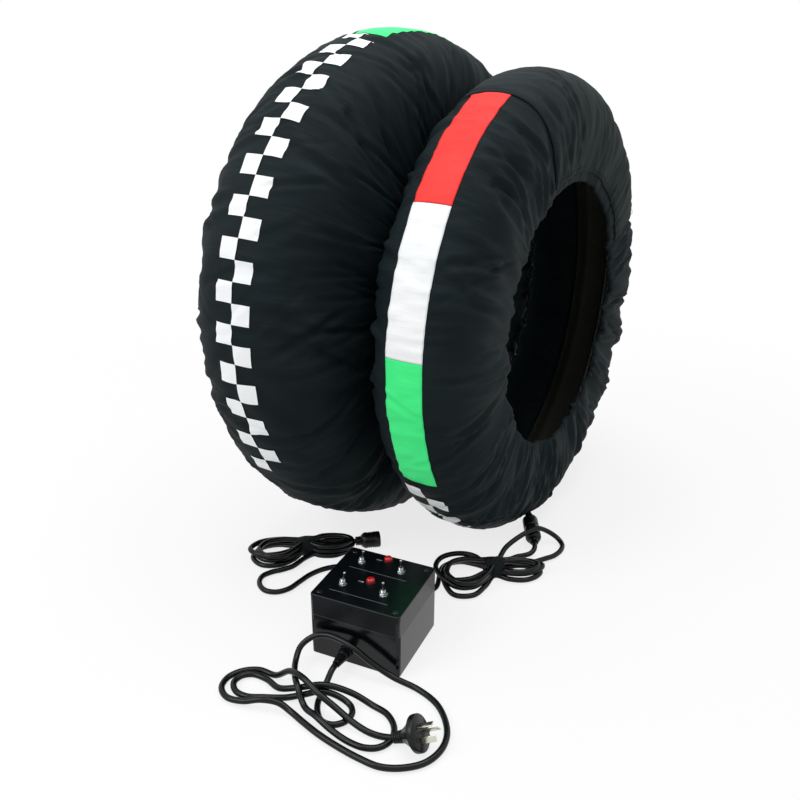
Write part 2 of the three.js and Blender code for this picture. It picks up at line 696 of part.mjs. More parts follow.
// A turned piece that lies on the floor with its axis along a heading
function lying(name, shape, place, heading, material, tilt = 0) {
  const mesh = add(model, name, shape.rotateY(Math.PI / 2), material);
  mesh.position.set(...place);
  mesh.rotation.set(0, -tilt * degrees, heading * degrees, 'ZYX');
  return mesh;
}

// A cable coupling: a ribbed collar at each end of a round body
function couplingPoints(length, radius, collar) {
  const tail = [[0, 0], [collar, 0], [collar + 1, length * 0.2], [radius, length * 0.35]];
  return [...tail, [radius, length - 1.5], [radius - 1, length], [0, length]];
}

// The inlet hangs from the skirt by its boot, and the lead's connector plugs into the front one
function makeInlet(warmer) {
  const height = inletRadius;
  const radius = Math.hypot(warmer.outerRadius - sag - height, inletBack);
  const share = (radius - warmer.widestRadius) / (warmer.outerRadius - warmer.widestRadius);
  const across = warmer.halfWidth * (1 - share ** roundness) ** (1 / roundness) + inletGap;
  const start = new THREE.Vector3(warmer.inletSide * across, -warmer.inletSide * inletBack, 0);
  start.applyAxisAngle(new THREE.Vector3(0, 0, 1), warmer.yaw * degrees);
  const heading = inletHeading + warmer.yaw + (warmer.inletSide < 0 ? 180 : 0);
  const place = [warmer.place[0] + start.x, warmer.place[1] + start.y, height];
  const reach = bootLength + inletLength;
  const points = [[0, 0], [bootRadius, 0], [inletRadius - 3, bootLength], [inletRadius, bootLength + 1]];
  points.push([inletRadius, reach - 1], [inletRadius - 1, reach], [0, reach]);
  lying(`${warmer.name}_inlet_socket`, turned(points, 12), place, heading, looks.rubber());
  return { place, heading, reach };
}

// The mains plug lies on the rim of its face and on its collar, with three flat pins
function makePlug() {
  const [x, y] = mainsRoute[mainsRoute.length - 1];
  const heading = plugHeading;
  const face = plugLength;
  const tail = plugCollar - 1.5;
  const rim = face - 6;
  const tilt = Math.atan2(plugRadius - tail, rim) / degrees;
  const lift = tail * Math.cos(tilt * degrees) + clearance;
  const gap = 5 * clearance;
  const [turnX, turnY] = [Math.cos(heading * degrees), Math.sin(heading * degrees)];
  const start = [x + gap * turnX, y + gap * turnY, lift];
  const points = [[0, 0], [tail, 0], [plugCollar, 12], [plugCollar + 2, 16], [plugRadius - 4, rim - 3]];
  points.push([plugRadius, rim], [plugRadius, face - 1.5], [plugRadius - 1, face], [0, face]);
  lying('plug_body', turned(points, 20), start, heading, looks.rubber(), tilt);
  const level = Math.cos(tilt * degrees);
  const along = new THREE.Vector3(turnX * level, turnY * level, Math.sin(tilt * degrees));
  ['pin_earth', 'pin_live', 'pin_neutral'].forEach((name, k) => {
    const turn = (k * 2 * Math.PI) / 3 - Math.PI / 2;
    const pin = new THREE.BoxGeometry(pinWidth, pinWall, pinLength);
    pin.rotateZ(k === 0 ? Math.PI / 2 : (k === 1 ? 1 : -1) * Math.PI / 6);
    pin.translate(pinCircle * Math.sin(turn), pinCircle * Math.cos(turn), pinLength / 2);
    const mesh = lying(name, pin, start, heading, looks.brass(), tilt);
    mesh.position.addScaledVector(along, face + clearance);
  });
}

makeWarmer(front);
makeWarmer(rear);
makeBase();
makeLid();
makeBoard();
makeSwitches();
makeLamps();
makeGlands();
makeLead('mains_lead', mainsRoute);
makePlug();
const frontInlet = makeInlet(front);
makeInlet(rear);
const ahead = (inlet, distance) => inlet.place.map((value, k) => {
  const turn = inlet.heading * degrees;
  return value + distance * [Math.cos(turn), Math.sin(turn), 0][k];
});
const frontEnd = ahead(frontInlet, frontInlet.reach + clearance + connectorLength);
const couplingTail = connectorRadius - 5;
const couplingShape = () => turned(couplingPoints(connectorLength, connectorRadius, couplingTail), 12);
lying('front_connector', couplingShape(), frontEnd, frontInlet.heading + 180, looks.rubber());
const hankTurn = rearHank.heading * degrees;
const hankReach = rearHank.reach[1] + clearance;
const hankX = rearHank.place[0] + hankReach * Math.cos(hankTurn);
const hankY = rearHank.place[1] + hankReach * Math.sin(hankTurn);
lying('rear_connector', couplingShape(), [hankX, hankY, connectorRadius], rearHank.heading, looks.rubber());
makeHank('front_hank', frontHank);
makeHank('rear_hank', rearHank);
makeLead('front_lead_near', frontNear);
makeLead('front_lead_loop', frontLoop);
makeLead('front_lead_far', frontFar);
makeLead('rear_lead_near', rearNear);

export default model;
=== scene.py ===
# A pair of electric tyre warmers for a motorcycle, with their control box and its leads.
# Sizes in the tables below are in millimetres and angles in degrees; meshes are made in metres.
import math

import bmesh
import bpy
import numpy as np
from mathutils import Matrix, Vector


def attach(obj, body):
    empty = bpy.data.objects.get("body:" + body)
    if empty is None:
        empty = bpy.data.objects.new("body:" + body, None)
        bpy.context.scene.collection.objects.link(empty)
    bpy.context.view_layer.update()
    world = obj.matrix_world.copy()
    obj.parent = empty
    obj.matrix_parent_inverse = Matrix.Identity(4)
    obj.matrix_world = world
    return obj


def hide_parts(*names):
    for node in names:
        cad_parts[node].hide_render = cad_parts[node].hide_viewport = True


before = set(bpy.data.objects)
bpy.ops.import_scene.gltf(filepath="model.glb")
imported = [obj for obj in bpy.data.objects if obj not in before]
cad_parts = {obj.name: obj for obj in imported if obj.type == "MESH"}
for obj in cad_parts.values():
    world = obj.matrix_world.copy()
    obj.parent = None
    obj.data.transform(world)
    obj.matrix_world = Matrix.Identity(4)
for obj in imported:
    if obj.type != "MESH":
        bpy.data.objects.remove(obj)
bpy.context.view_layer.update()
scene = bpy.context.scene
MM = 0.001
SET = "warmers_and_box"
# Two points closer than this, in metres, are one
WELD = 1e-6
BEVEL = {"profile": 0.5, "affect": "EDGES", "material": -1}


# A camera or a lamp in the scene, at a place in metres and looking at its aim
def set_up(name, data, place, aim):
    made = bpy.data.objects.new(name, data)
    scene.collection.objects.link(made)
    made.location = place
    made.rotation_mode = "QUATERNION"
    made.rotation_quaternion = (Vector(aim) - Vector(place)).to_track_quat("-Z", "Y")
    return made


# The camera stands where the photograph was taken from
def make_camera():
    turn, rise, distance = math.radians(32.11), math.radians(23.03), 1.350
    target = Vector((-0.2024, 0.3784, 0.124))
    level = math.cos(rise)
    back = Vector((math.sin(turn) * level, -math.cos(turn) * level, math.sin(rise)))
    camera = bpy.data.cameras.new("camera")
    camera.sensor_width = 36
    camera.lens = 38.07
    camera.clip_start = 0.01
    scene.camera = set_up("camera", camera, target + back * distance, target)


make_camera()


# Colours are written as they look on a screen, and the shader wants them linear
def linear(colour):
    parts = [int(colour[k : k + 2], 16) / 255 for k in (0, 2, 4)]
    return *[c / 12.92 if c <= 0.04045 else ((c + 0.055) / 1.055) ** 2.4 for c in parts], 1.0


# A shader node with its settings, and its sockets set to values or joined to other nodes' sockets
def add_node(tree, kind, sockets=None, **settings):
    made = tree.nodes.new("ShaderNode" + kind)
    for name, value in settings.items():
        setattr(made, name, value)
    for name, value in (sockets or {}).items():
        if isinstance(value, bpy.types.NodeSocket):
            tree.links.new(value, made.inputs[name])
        else:
            made.inputs[name].default_value = value
    return made


# A material and its shader, with the plain values of its finish
def start_material(name, colour, roughness, gloss=0.5, metallic=0.0):
    material = bpy.data.materials.new(name)
    material.use_nodes = True
    tree = material.node_tree
    shader = tree.nodes["Principled BSDF"]
    shader.inputs["Base Color"].default_value = linear(colour)
    shader.inputs["Roughness"].default_value = roughness
    shader.inputs["Specular IOR Level"].default_value = gloss
    shader.inputs["Metallic"].default_value = metallic
    return material, tree, shader


# Two colours with a soft step between them, mixed by a pattern's value
def mix_colours(tree, pattern, first, second):
    ramp = add_node(tree, "ValToRGB", {"Fac": pattern})
    for element, position, colour in zip(ramp.color_ramp.elements, (0.3, 0.7), (first, second)):
        element.position = position
        element.color = linear(colour)
    return ramp.outputs["Color"]


# A bump of a real height in metres, over another bump where one is given
def bump(tree, height, distance, strength=1.0, normal=None):
    sockets = {"Height": height, "Distance": distance, "Strength": strength}
    if normal is not None:
        sockets["Normal"] = normal
    return add_node(tree, "Bump", sockets).outputs["Normal"]


# Noise at a real size in metres across and along the cloth, or in the piece's own space
def noise(tree, place, size, detail=2.0, rough=0.5):
    scale = [1 / s for s in (size if isinstance(size, tuple) else (size, size, size))]
    spread = add_node(tree, "Mapping", {"Vector": place, "Scale": scale}).outputs["Vector"]
    sockets = {"Vector": spread, "Scale": 1.0, "Detail": detail, "Roughness": rough}
    return add_node(tree, "TexNoise", sockets).outputs["Fac"]


# The real threads are 0.3 mm apart, too fine to show, so they are drawn 1.1 mm apart
THREAD_SPACING, THREAD_HEIGHT = 0.0011, 0.00012
# How wide one band of the wave texture is at a scale of 1
WAVE_BAND = 2 * math.pi / 20


# Woven cloth: a plain weave, over small creases that run from hem to hem, over wide soft ones
def cloth_material(name, first, second, roughness, crease=0.00242, gloss=0.12):
    material, tree, shader = start_material(name, first, roughness, gloss)
    place = add_node(tree, "UVMap", uv_map="UVMap").outputs["UV"]
    cloudy = noise(tree, place, (0.09, 0.14, 1.0), 3.0)
    tree.links.new(mix_colours(tree, cloudy, first, second), shader.inputs["Base Color"])
    weave = []
    for axis in ("X", "Y"):
        sockets = {"Vector": place, "Scale": WAVE_BAND / THREAD_SPACING, "Distortion": 0.0}
        wave = add_node(tree, "TexWave", sockets, wave_type="BANDS", bands_direction=axis)
        weave.append(wave.outputs["Fac"])
    threads = add_node(tree, "Math", {0: weave[0], 1: weave[1]}, operation="ADD").outputs["Value"]
    small = noise(tree, place, (0.011, 0.075, 1.0), 2.5, 0.55)
    wide = noise(tree, place, (0.035, 0.16, 1.0))
    normal = bump(tree, wide, 0.0035)
    normal = bump(tree, small, crease, normal=normal)
    normal = bump(tree, threads, THREAD_HEIGHT, 0.6, normal=normal)
    tree.links.new(normal, shader.inputs["Normal"])
    return material


# Rubber or plastic with a fine moulded grain, slightly cloudy in colour and gloss
def moulded_material(name, first, second, roughness, grain=0.0012, depth=0.00004, gloss=0.5):
    material, tree, shader = start_material(name, first, roughness, gloss)
    place = add_node(tree, "TexCoord").outputs["Object"]
    cloudy = noise(tree, place, 0.02, 3.0)
    tree.links.new(mix_colours(tree, cloudy, first, second), shader.inputs["Base Color"])
    spread = {"To Min": max(roughness - 0.06, 0.02), "To Max": roughness + 0.06}
    worn = add_node(tree, "MapRange", {"Value": noise(tree, place, 0.009), **spread})
    tree.links.new(worn.outputs["Result"], shader.inputs["Roughness"])
    tree.links.new(bump(tree, noise(tree, place, grain), depth), shader.inputs["Normal"])
    return material


# Polished or plated metal with faint fine scratches
def metal_material(name, first, second, roughness):
    material, tree, shader = start_material(name, first, roughness, metallic=1.0)
    place = add_node(tree, "TexCoord").outputs["Object"]
    streaks = noise(tree, place, (0.0006, 0.0006, 0.004))
    tree.links.new(mix_colours(tree, streaks, first, second), shader.inputs["Base Color"])
    tree.links.new(bump(tree, streaks, 0.00002), shader.inputs["Normal"])
    return material


# Dyed woven polyester: matt and nearly black, with a trace of blue green where the light rakes it
cover_cloth = cloth_material("woven polyester cover", "0b1518", "121d20", 0.7)
# The same cloth drawn tight over the flap: a shade lighter, with flatter creases
flap_cloth = cloth_material("woven polyester flap", "0d181a", "141f21", 0.68, 0.00154)
# Aramid cloth under a silicone coat: smooth and dark olive, with a dull sheen
lining_cloth = cloth_material("coated aramid lining", "2a2b23", "34352b", 0.6, 0.00066, 0.3)
# Satin polyester, sewn down flat: clear even colours, a soft sheen and hardly a crease
red_cloth = cloth_material("red satin polyester", "e8302c", "f23e3a", 0.6, 0.00132, 0.25)
white_cloth = cloth_material("white satin polyester", "e9eced", "f4f5f6", 0.6, 0.0011, 0.25)
green_cloth = cloth_material("green satin polyester", "3aea80", "48f690", 0.6, 0.0011, 0.25)
# Bonded nylon, as thread and as webbing: black, a little greyer than the cloth it holds
black_thread = cloth_material("bonded nylon thread, black", "12191b", "1a2224", 0.6)
# A braided cotton jacket over rubber: dark grey, quite dull and rough
elastic_braid = moulded_material("braided elastic cord", "232526", "2e3032", 0.85, 0.0008, 0.0001)
# Extruded vinyl: a plain satin grey line along the lining's edge
piping_vinyl = moulded_material("grey vinyl piping", "6e7173", "7d8082", 0.45)
# Extruded PVC: deep black and smooth, with a long narrow highlight
sheath_rubber = moulded_material("black PVC cord sheath", "07090b", "0b0e11", 0.24, gloss=0.22)
# PVC moulded over a plug or a relief: black with a fine grain, less glossy than the sheath
moulded_rubber = moulded_material("moulded black PVC", "07090b", "0c0f11", 0.3, 0.0016, gloss=0.25)
# ABS from a polished mould: black, and it mirrors the lead in front of it
box_abs = moulded_material("glossy moulded ABS", "03060a", "06080c", 0.17, 0.0022, 0.00001, 0.3)
# ABS from a blasted mould: the same black, with only a blurred reflection
lid_abs = moulded_material("satin moulded ABS", "03060a", "06080c", 0.3, 0.0022, 0.00002, 0.25)
# Moulded acrylic, unlit: a deep glossy red
lamp_lens = moulded_material("red acrylic lens", "a4080e", "c01018", 0.14)
# Chrome over brass: a clear mirror, its colour darkened below real chrome as painted shade for the
# dark surroundings it would mirror
chrome = metal_material("chrome plated brass", "8e9294", "a4a8aa", 0.14)
# Nickel over brass: a pale warm grey with a soft mirror
pin_nickel = metal_material("nickel plated brass pin", "c6c7b8", "d6d7c8", 0.25)
# Steel with black zinc: a dark dull glint
screw_zinc = metal_material("black zinc screw", "3a3d3f", "4a4e50", 0.35)
# Printing ink: a thin dull grey that hardly stands out from the lid
print_grey = moulded_material("grey printed line", "4c5254", "565c5e", 0.5)
# Polished aluminium: pale silver with a soft glint
bar_silver = metal_material("polished aluminium bar", "c8cbcc", "d8dbdc", 0.3)
# Extruded silicone rubber: a dull orange brown
wire_sleeve = moulded_material("silicone sleeved heating wire", "96452a", "a8502f", 0.5)
# Needled felt: grey, quite matt, with a coarse soft surface
grey_felt = moulded_material("needled insulation felt", "8a8578", "9c978a", 1.0, 0.003, 0.0008)
# Glass epoxy under solder mask: dark green, half glossy
board_resin = moulded_material("green glass epoxy board", "1c5234", "24603d", 0.45)


# A finished mesh as a piece of the object, riding on its body and standing for its CAD nodes
def add_piece(name, form, material, slot, replaces=(), body=SET, sharp=35):
    mesh = bpy.data.meshes.new(name)
    form.to_mesh(mesh)
    form.free()
    mesh.materials.append(material)
    mesh.polygons.foreach_set("use_smooth", [True] * len(mesh.polygons))
    if sharp:
        mesh.set_sharp_from_angle(angle=math.radians(sharp))
    return enrol(bpy.data.objects.new(name, mesh), slot, replaces, body)


# Puts an object in the scene on its body, and hides the CAD nodes it replaces
def enrol(piece, slot, replaces, body=SET):
    scene.collection.objects.link(piece)
    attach(piece, body)
    if replaces:
        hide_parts(*replaces)
    return piece


# A round tube along points in metres, closed to a ring or capped at both ends
def make_tube(name, path, radius, material, slot, replaces=(), ring=False):
    curve = bpy.data.curves.new(name, "CURVE")
    curve.dimensions = "3D"
    curve.bevel_depth = radius * MM
    curve.bevel_resolution = 2 if ring else 4
    curve.use_fill_caps = not ring
    spline = curve.splines.new("POLY")
    spline.points.add(len(path) - 1)
    spline.points.foreach_set("co", np.column_stack([path, np.ones(len(path))]).ravel())
    spline.use_cyclic_u = ring
    curve.materials.append(material)
    return enrol(bpy.data.objects.new(name, curve), slot, replaces)


# A CAD node that stays in sight or inside another piece, with a finished material
def finish_node(node, material):
    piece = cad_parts[node]
    piece.data.materials.clear()
    piece.data.materials.append(material)


# Joins several patches into one
def joined(patches):
    whole = bmesh.new()
    for patch in patches:
        mesh = bpy.data.meshes.new("patch")
        patch.to_mesh(mesh)
        patch.free()
        whole.from_mesh(mesh)
        bpy.data.meshes.remove(mesh)
    return whole


# Gives an open surface the thickness of its wall, outwards from it, or inwards with -1
def add_wall(piece, thickness, offset=1.0):
    wall = piece.modifiers.new("wall", "SOLIDIFY")
    wall.thickness = thickness * MM
    wall.offset = offset


def smooth_step(value):
    value = np.clip(value, 0, 1)
    return value * value * (3 - 2 * value)


# An angle as the shorter way round
def short_way(angle):
    return (angle + 180) % 360 - 180


# Where a point in a piece's own frame comes to lie on the floor, at the piece's place and heading
def laid(place, heading, x, y):
    turn = math.radians(heading)
    across, along = math.cos(turn), math.sin(turn)
    return place[0] + x * across - y * along, place[1] + x * along + y * across


def stretched(*size):
    return Matrix.Diagonal((*[s * MM for s in size], 1))


# What differs between the warmers. The flap has its start and arc, and the slack hem's bulge its
# middle, spread and depth.
front = {
    "name": "front", "outer": 311, "half": 71, "widest": 232, "reach": 120, "shoulder": 46,
    "flap": (68.5, 90), "middle": 0, "columns": 10, "gap": 10, "place": (-4, 378), "yaw": 0,
    "pleats": 64, "seed": 11, "bulge": (30, 30, 0.0),
}
rear = {
    "name": "rear", "outer": 335, "half": 89, "widest": 247, "reach": 150, "shoulder": 60,
    "flap": (169.5, 72), "middle": 10, "columns": 27, "gap": 2, "place": (-180, 325), "yaw": -2,
    "pleats": 66, "seed": 23, "bulge": (26, 48, 18.0),
}
HEM_RADIUS = 180
# The section is a superellipse with this power
ROUNDNESS = 2.3
# How far a warmer settles where it stands
SAG = 3.5
# The cloth's radius round the elastic, and the elastic's own
HEM_ROLL, ELASTIC_RADIUS = 3.6, 2.6
# Pleats at the hem and longer folds between them: their height and how far up they reach
PLEAT_HEIGHT, PLEAT_REACH = 3.6, 20
FOLD_HEIGHT, FOLD_REACH = 2.6, 62
SKIRT_CREASES, TREAD_CREASES = 190, 130
PANEL_ARC, PANEL_WIDTH = 176, 48
# How far each lies over the cover
PANEL_LIFT, FLAP_LIFT, STITCH_LIFT = 0.9, 1.6, 3.2
LINING_DEPTH, WIRE_COVER, LINING_LIP = 8.2, 1.4, 14.0
# How far the lining ends inside the shoulders, and the flap before the hems
LINING_INSET, FLAP_INSET = 11, 11
PIPING_RADIUS, RING_POINTS = 1.5, 240


# The shape in which a warmer's cloth stands: its section, gathers, creases and flat spot
class Cloth:
    def __init__(self, warmer):
        self.warmer = warmer
        self.random = np.random.default_rng(warmer["seed"])
        self.trace_section()
        self.scatter_creases()

    # The full name of one of the warmer's pieces or nodes
    def label(self, piece):
        return f"{self.warmer['name']}_{piece}"

    # The section from the crown over the shoulder to the hem, round the elastic and back inside.
    # Along it run x, the radius r, the distance s from the crown and the outward direction nx, nr.
    def trace_section(self):
        w = self.warmer
        fall = ((w["widest"] - HEM_RADIUS) / w["reach"]) ** (ROUNDNESS / 2)
        t = np.linspace(0, math.pi - math.acos(fall), 1201)
        power = 2 / ROUNDNESS
        x = w["half"] * np.sin(t) ** power
        lift = np.where(np.cos(t) > 0, w["outer"] - w["widest"], -w["reach"])
        r = w["widest"] + lift * np.abs(np.cos(t)) ** power
        dx, dr = np.gradient(x), np.gradient(r)
        length = np.hypot(dx, dr)
        nx, nr = -dr / length, dx / length
        s = np.concatenate([[0], np.cumsum(np.hypot(np.diff(x), np.diff(r)))])
        self.hem = s[-1]
        self.shoulder = float(np.interp(w["shoulder"], x, s))
        # Round the elastic in half a turn
        turn = np.linspace(0, math.pi, 41)[1:]
        across, along = nx[-1], nr[-1]
        fore, side = HEM_ROLL * (np.cos(turn) - 1), HEM_ROLL * np.sin(turn)
        roll_x = x[-1] + fore * across + side * along
        roll_r = r[-1] + fore * along - side * across
        # Back under the skirt to just inside the shoulder, sinking to the lining's depth on the way
        back = slice(-2, np.searchsorted(x, w["shoulder"] - 6), -1)
        deep = HEM_ROLL * 2 + (LINING_DEPTH - HEM_ROLL * 2) * smooth_step((self.hem - s) / 80)
        whole = lambda out, rolled, home: np.concatenate([out, rolled, home[back]])
        mirrored = lambda values, sign: np.concatenate([sign * values[:0:-1], values])
        same = np.ones(40)
        x_all, r_all = whole(x, roll_x, x - nx * deep), whole(r, roll_r, r - nr * deep)
        steps = np.cumsum(np.hypot(np.diff(x_all), np.diff(r_all)))
        self.whole = steps[-1]
        self.along = mirrored(np.concatenate([[0], steps]), -1)
        self.table = {
            "x": mirrored(x_all, -1), "r": mirrored(r_all, 1),
            "s": mirrored(whole(s, same * self.hem, s), -1),
            "nx": mirrored(whole(nx, same * across, nx), -1),
            "nr": mirrored(whole(nr, same * along, nr), 1),
        }

    # Short pulled creases, which run across the tread and down the skirts from shoulder to hem.
    # Each kind has the span of its middles, its lengths, its slope, its widths and its depths.
    def scatter_creases(self):
        pick = self.random
        skirt = ((self.shoulder - 14, self.hem - 16), (26, 84), 0.06, (2.6, 5.6), (1.2, 3.9))
        tread = ((-self.shoulder, self.shoulder), (18, 52), 0.08, (2.6, 5.4), (0.7, 2.0))
        batches = ((SKIRT_CREASES, -1, skirt), (SKIRT_CREASES, 1, skirt), (TREAD_CREASES, 1, tread))
        self.creases = []
        for count, side, (span, lengths, slope, widths, depths) in batches:
            for _ in range(count):
                middle = side * pick.uniform(*span)
                shape = [pick.uniform(*lengths), pick.normal(0, slope)]
                shape += [pick.uniform(*widths), pick.uniform(*depths)]
                self.creases.append((pick.uniform(0, 360), middle, *shape))
        self.phases = pick.uniform(0, 2 * math.pi, (4, 40))

    # A slow wander round the warmer that meets itself after a full turn
    def wander(self, a, row, first, last):
        steps = range(first, last)
        total = sum(np.cos(n * a + self.phases[row][n]) for n in steps)
        return total / math.sqrt(len(steps) / 2)

    # How far the cloth stands out from its section, in millimetres
    def ripple(self, angle, s):
        a = np.radians(angle)
        far = np.abs(s)
        to_hem = np.clip(self.hem - far, 0, None)
        skirt = smooth_step((far - self.shoulder + 18) / 42)
        # The left skirt's folds don't stand opposite the right one's
        shift = np.where(s < 0, 2.1, 0.0)
        drift = self.wander(a + shift, 0, 3, 9) * 1.3 + self.wander(a, 1, 14, 30) * 0.5
        pleats = self.warmer["pleats"] * a
        pleat = np.sin(0.5 * (pleats + drift * 1.5 + far * 0.006 * drift) + shift)
        fold = np.sin(0.25 * (pleats + drift * 2.2 + far * 0.01) + shift)
        out = PLEAT_HEIGHT * (np.abs(pleat) ** 0.7 - 0.68) * np.exp(-to_hem / PLEAT_REACH)
        rise = FOLD_HEIGHT * np.exp(-((to_hem / FOLD_REACH) ** 2)) * skirt
        out += rise * (np.abs(fold) ** 0.8 - 0.64)
        swell = 1.7 * self.wander(a + shift, 2, 8, 22)
        swell += 1.0 * self.wander(a + shift + far * 0.002, 3, 24, 39)
        out += skirt * swell + (1 - skirt) * 0.7 * self.wander(a + far * 0.003, 2, 12, 39)
        # A crease sinks along its middle and stands up a little on both sides
        for place, middle, size, slope, width, depth in self.creases:
            near = np.abs(s - middle) < size
            turn = short_way(angle - place - slope * (s - middle))
            near &= np.abs(turn) < 5
            if not near.any():
                continue
            away = turn[near] * math.pi / 180 * 0.85 * self.warmer["outer"] / width
            ends = smooth_step(1.6 * (1 - np.abs(s[near] - middle) / size))
            banks = 0.45 * np.exp(-((np.abs(away) - 2.2) ** 2))
            out[near] -= depth * ends * (np.exp(-(away**2)) - banks)
        # Over the felt the cover can't sink deeper than its own thickness
        padded = far < self.shoulder + 6
        out = np.where(padded & (out < -0.8), -0.8 - 0.9 * np.tanh((-0.8 - out) / 0.9), out)
        return out * self.calm(angle, s)

    # The closing flap and the sewn panels hold the cloth smoother
    def calm(self, angle, s):
        w = self.warmer
        start, arc = w["flap"]
        into = short_way(angle - start)
        on_flap = smooth_step((into + 2) / 4) * smooth_step((arc - into) / 6 + 0.3)
        panels = 3 * math.degrees(PANEL_ARC / w["outer"])
        on_panel = smooth_step(-into / 3) * smooth_step((into + panels) / 3 + 0.5)
        on_panel *= smooth_step((PANEL_WIDTH / 2 + 9 - np.abs(s - w["middle"])) / 9)
        return (1 - 0.62 * on_flap) * (1 - 0.5 * on_panel)

    # Points on the cloth in metres, from the angle above the horizontal and the distance along the
    # section. Lift raises them off the cloth, and loose says how much they follow its ripples.
    def points(self, angle, along, lift=0.0, loose=1.0):
        w = self.warmer
        part = {key: np.interp(along, self.along, values) for key, values in self.table.items()}
        inside = smooth_step((np.abs(along) - self.hem - 3 * HEM_ROLL) / 30)
        waves = self.ripple(angle, part["s"]) * loose * (1 - 0.75 * inside)
        out = waves + lift
        x, r = part["x"] + part["nx"] * out, part["r"] + part["nr"] * out
        to_hem = np.clip(self.hem - np.abs(part["s"]), 0, None)
        r = r + 0.5 * waves * np.exp(-to_hem / 9)
        # The slack hem falls outwards on the side of its bulge
        middle, spread, slack = w["bulge"]
        fall = slack * np.exp(-((short_way(angle - middle) / spread) ** 2))
        fall = fall * np.where(part["s"] > 0, smooth_step(1 - to_hem / 95), 0)
        x, r = x + fall, r - 0.45 * fall
        a = np.radians(angle)
        z = w["outer"] - SAG + r * np.sin(a)
        # Where it stands, the cloth is pressed flat just above the floor
        press = np.clip((r - w["outer"] * 0.75) / (w["outer"] * 0.15), 0, 1)
        sunk = 0.8 + lift * 0.3 - z
        z = np.where(sunk > -2, z + press * np.where(sunk > 2, sunk, (sunk + 2) ** 2 / 8), z)
        return np.stack([*laid(w["place"], w["yaw"], x, -r * np.cos(a)), z], axis=-1) * MM


# A grid of cloth between two angles and two distances along the section, with a map in metres on
# it. Swell lifts its middle, and lip sinks its edges.
def cloth_patch(cloth, start, arc, low, high, steps, rows, lift=0.0, swell=0.0, lip=0.0, loose=1.0):
    bm = bmesh.new()
    bm.loops.layers.uv.new("UVMap")
    bmesh.ops.create_grid(bm, x_segments=steps, y_segments=rows, size=0.5, calc_uvs=True)
    flat = np.array([v.co for v in bm.verts])
    u, v = flat[:, 0] + 0.5, flat[:, 1] + 0.5
    extra = lift + swell * np.sin(math.pi * u) * np.sin(math.pi * v)
    extra -= lip * smooth_step(np.abs(v - 0.5) * 3.4 - 0.7)
    places = cloth.points(start + arc * u, low + (high - low) * v, extra, loose)
    for vert, place in zip(bm.verts, places):
        vert.co = place
    around = math.radians(abs(arc)) * cloth.warmer["outer"] * MM
    across = abs(high - low) * MM
    uv_layer = bm.loops.layers.uv.active
    for face in bm.faces:
        for loop in face.loops:
            loop[uv_layer].uv = (loop[uv_layer].uv.x * around, loop[uv_layer].uv.y * across)
    if arc * (high - low) < 0:
        bmesh.ops.reverse_faces(bm, faces=bm.faces)
    if abs(arc) >= 360:
        bmesh.ops.remove_doubles(bm, verts=bm.verts, dist=WELD)
    return bm


# A row of stitches along points on the cloth, each one a short raised thread
def stitch_row(points):
    bm = bmesh.new()
    for start, end in zip(points[:-1:2], points[1::2]):
        start, end = Vector(start), Vector(end)
        turn = (end - start).normalized().to_track_quat("X", "Z").to_matrix().to_4x4()
        place = Matrix.Translation((start + end) / 2) @ turn @ stretched(2.6, 0.55, 0.55)
        bmesh.ops.create_cube(bm, size=1, matrix=place)
    return bm


# The cover goes from under one skirt round its hem, over the tread and round the other hem
def make_cover(cloth):
    start = cloth.warmer["flap"][0]
    bm = cloth_patch(cloth, start, 360, -cloth.whole, cloth.whole, 500, 168)
    covered = [cloth.label(part) for part in ("tread_cover", "skirt_left", "skirt_right")]
    cover = add_piece(cloth.label("cloth_cover"), bm, cover_cloth, "cover_cloth", covered, sharp=0)
    inside = [cloth.label(part) for part in ("inner_lining", "elastic_left", "elastic_right")]


# The coated lining lies inside the tread, with edges that stand up and are bound with piping. The
# elastics lie in the hems.
def make_lining(cloth):
    label = cloth.label
    edge = cloth.shoulder - LINING_INSET
    depth = LINING_DEPTH + WIRE_COVER
    start = cloth.warmer["flap"][0]
    bm = cloth_patch(cloth, start, 360, edge, -edge, 260, 40, -depth, lip=LINING_LIP, loose=0.0)
    replaced = [label("inner_lining")]
    lining = add_piece(label("lining"), bm, lining_cloth, "lining_cloth", replaced, sharp=0)
    add_wall(lining, 1.2)
    label("insulation")
    angles = np.linspace(0, 360, RING_POINTS + 1)[:-1]
    for side, word, material in ((-1, "left", moulded_rubber), (1, "right", piping_vinyl)):
        rim = np.full(RING_POINTS, side * edge)
        path = cloth.points(angles, rim, -depth - LINING_LIP - 1.0, 0.0)
        make_tube(label("piping_" + word), path, PIPING_RADIUS, material, "lining_cloth", ring=True)
        path = cloth.points(angles, np.full(RING_POINTS, side * cloth.hem), -HEM_ROLL)
        facts = (ELASTIC_RADIUS, elastic_braid, "elastic_cord", [label("elastic_" + word)])
        make_tube(label("hem_elastic_" + word), path, *facts, ring=True)


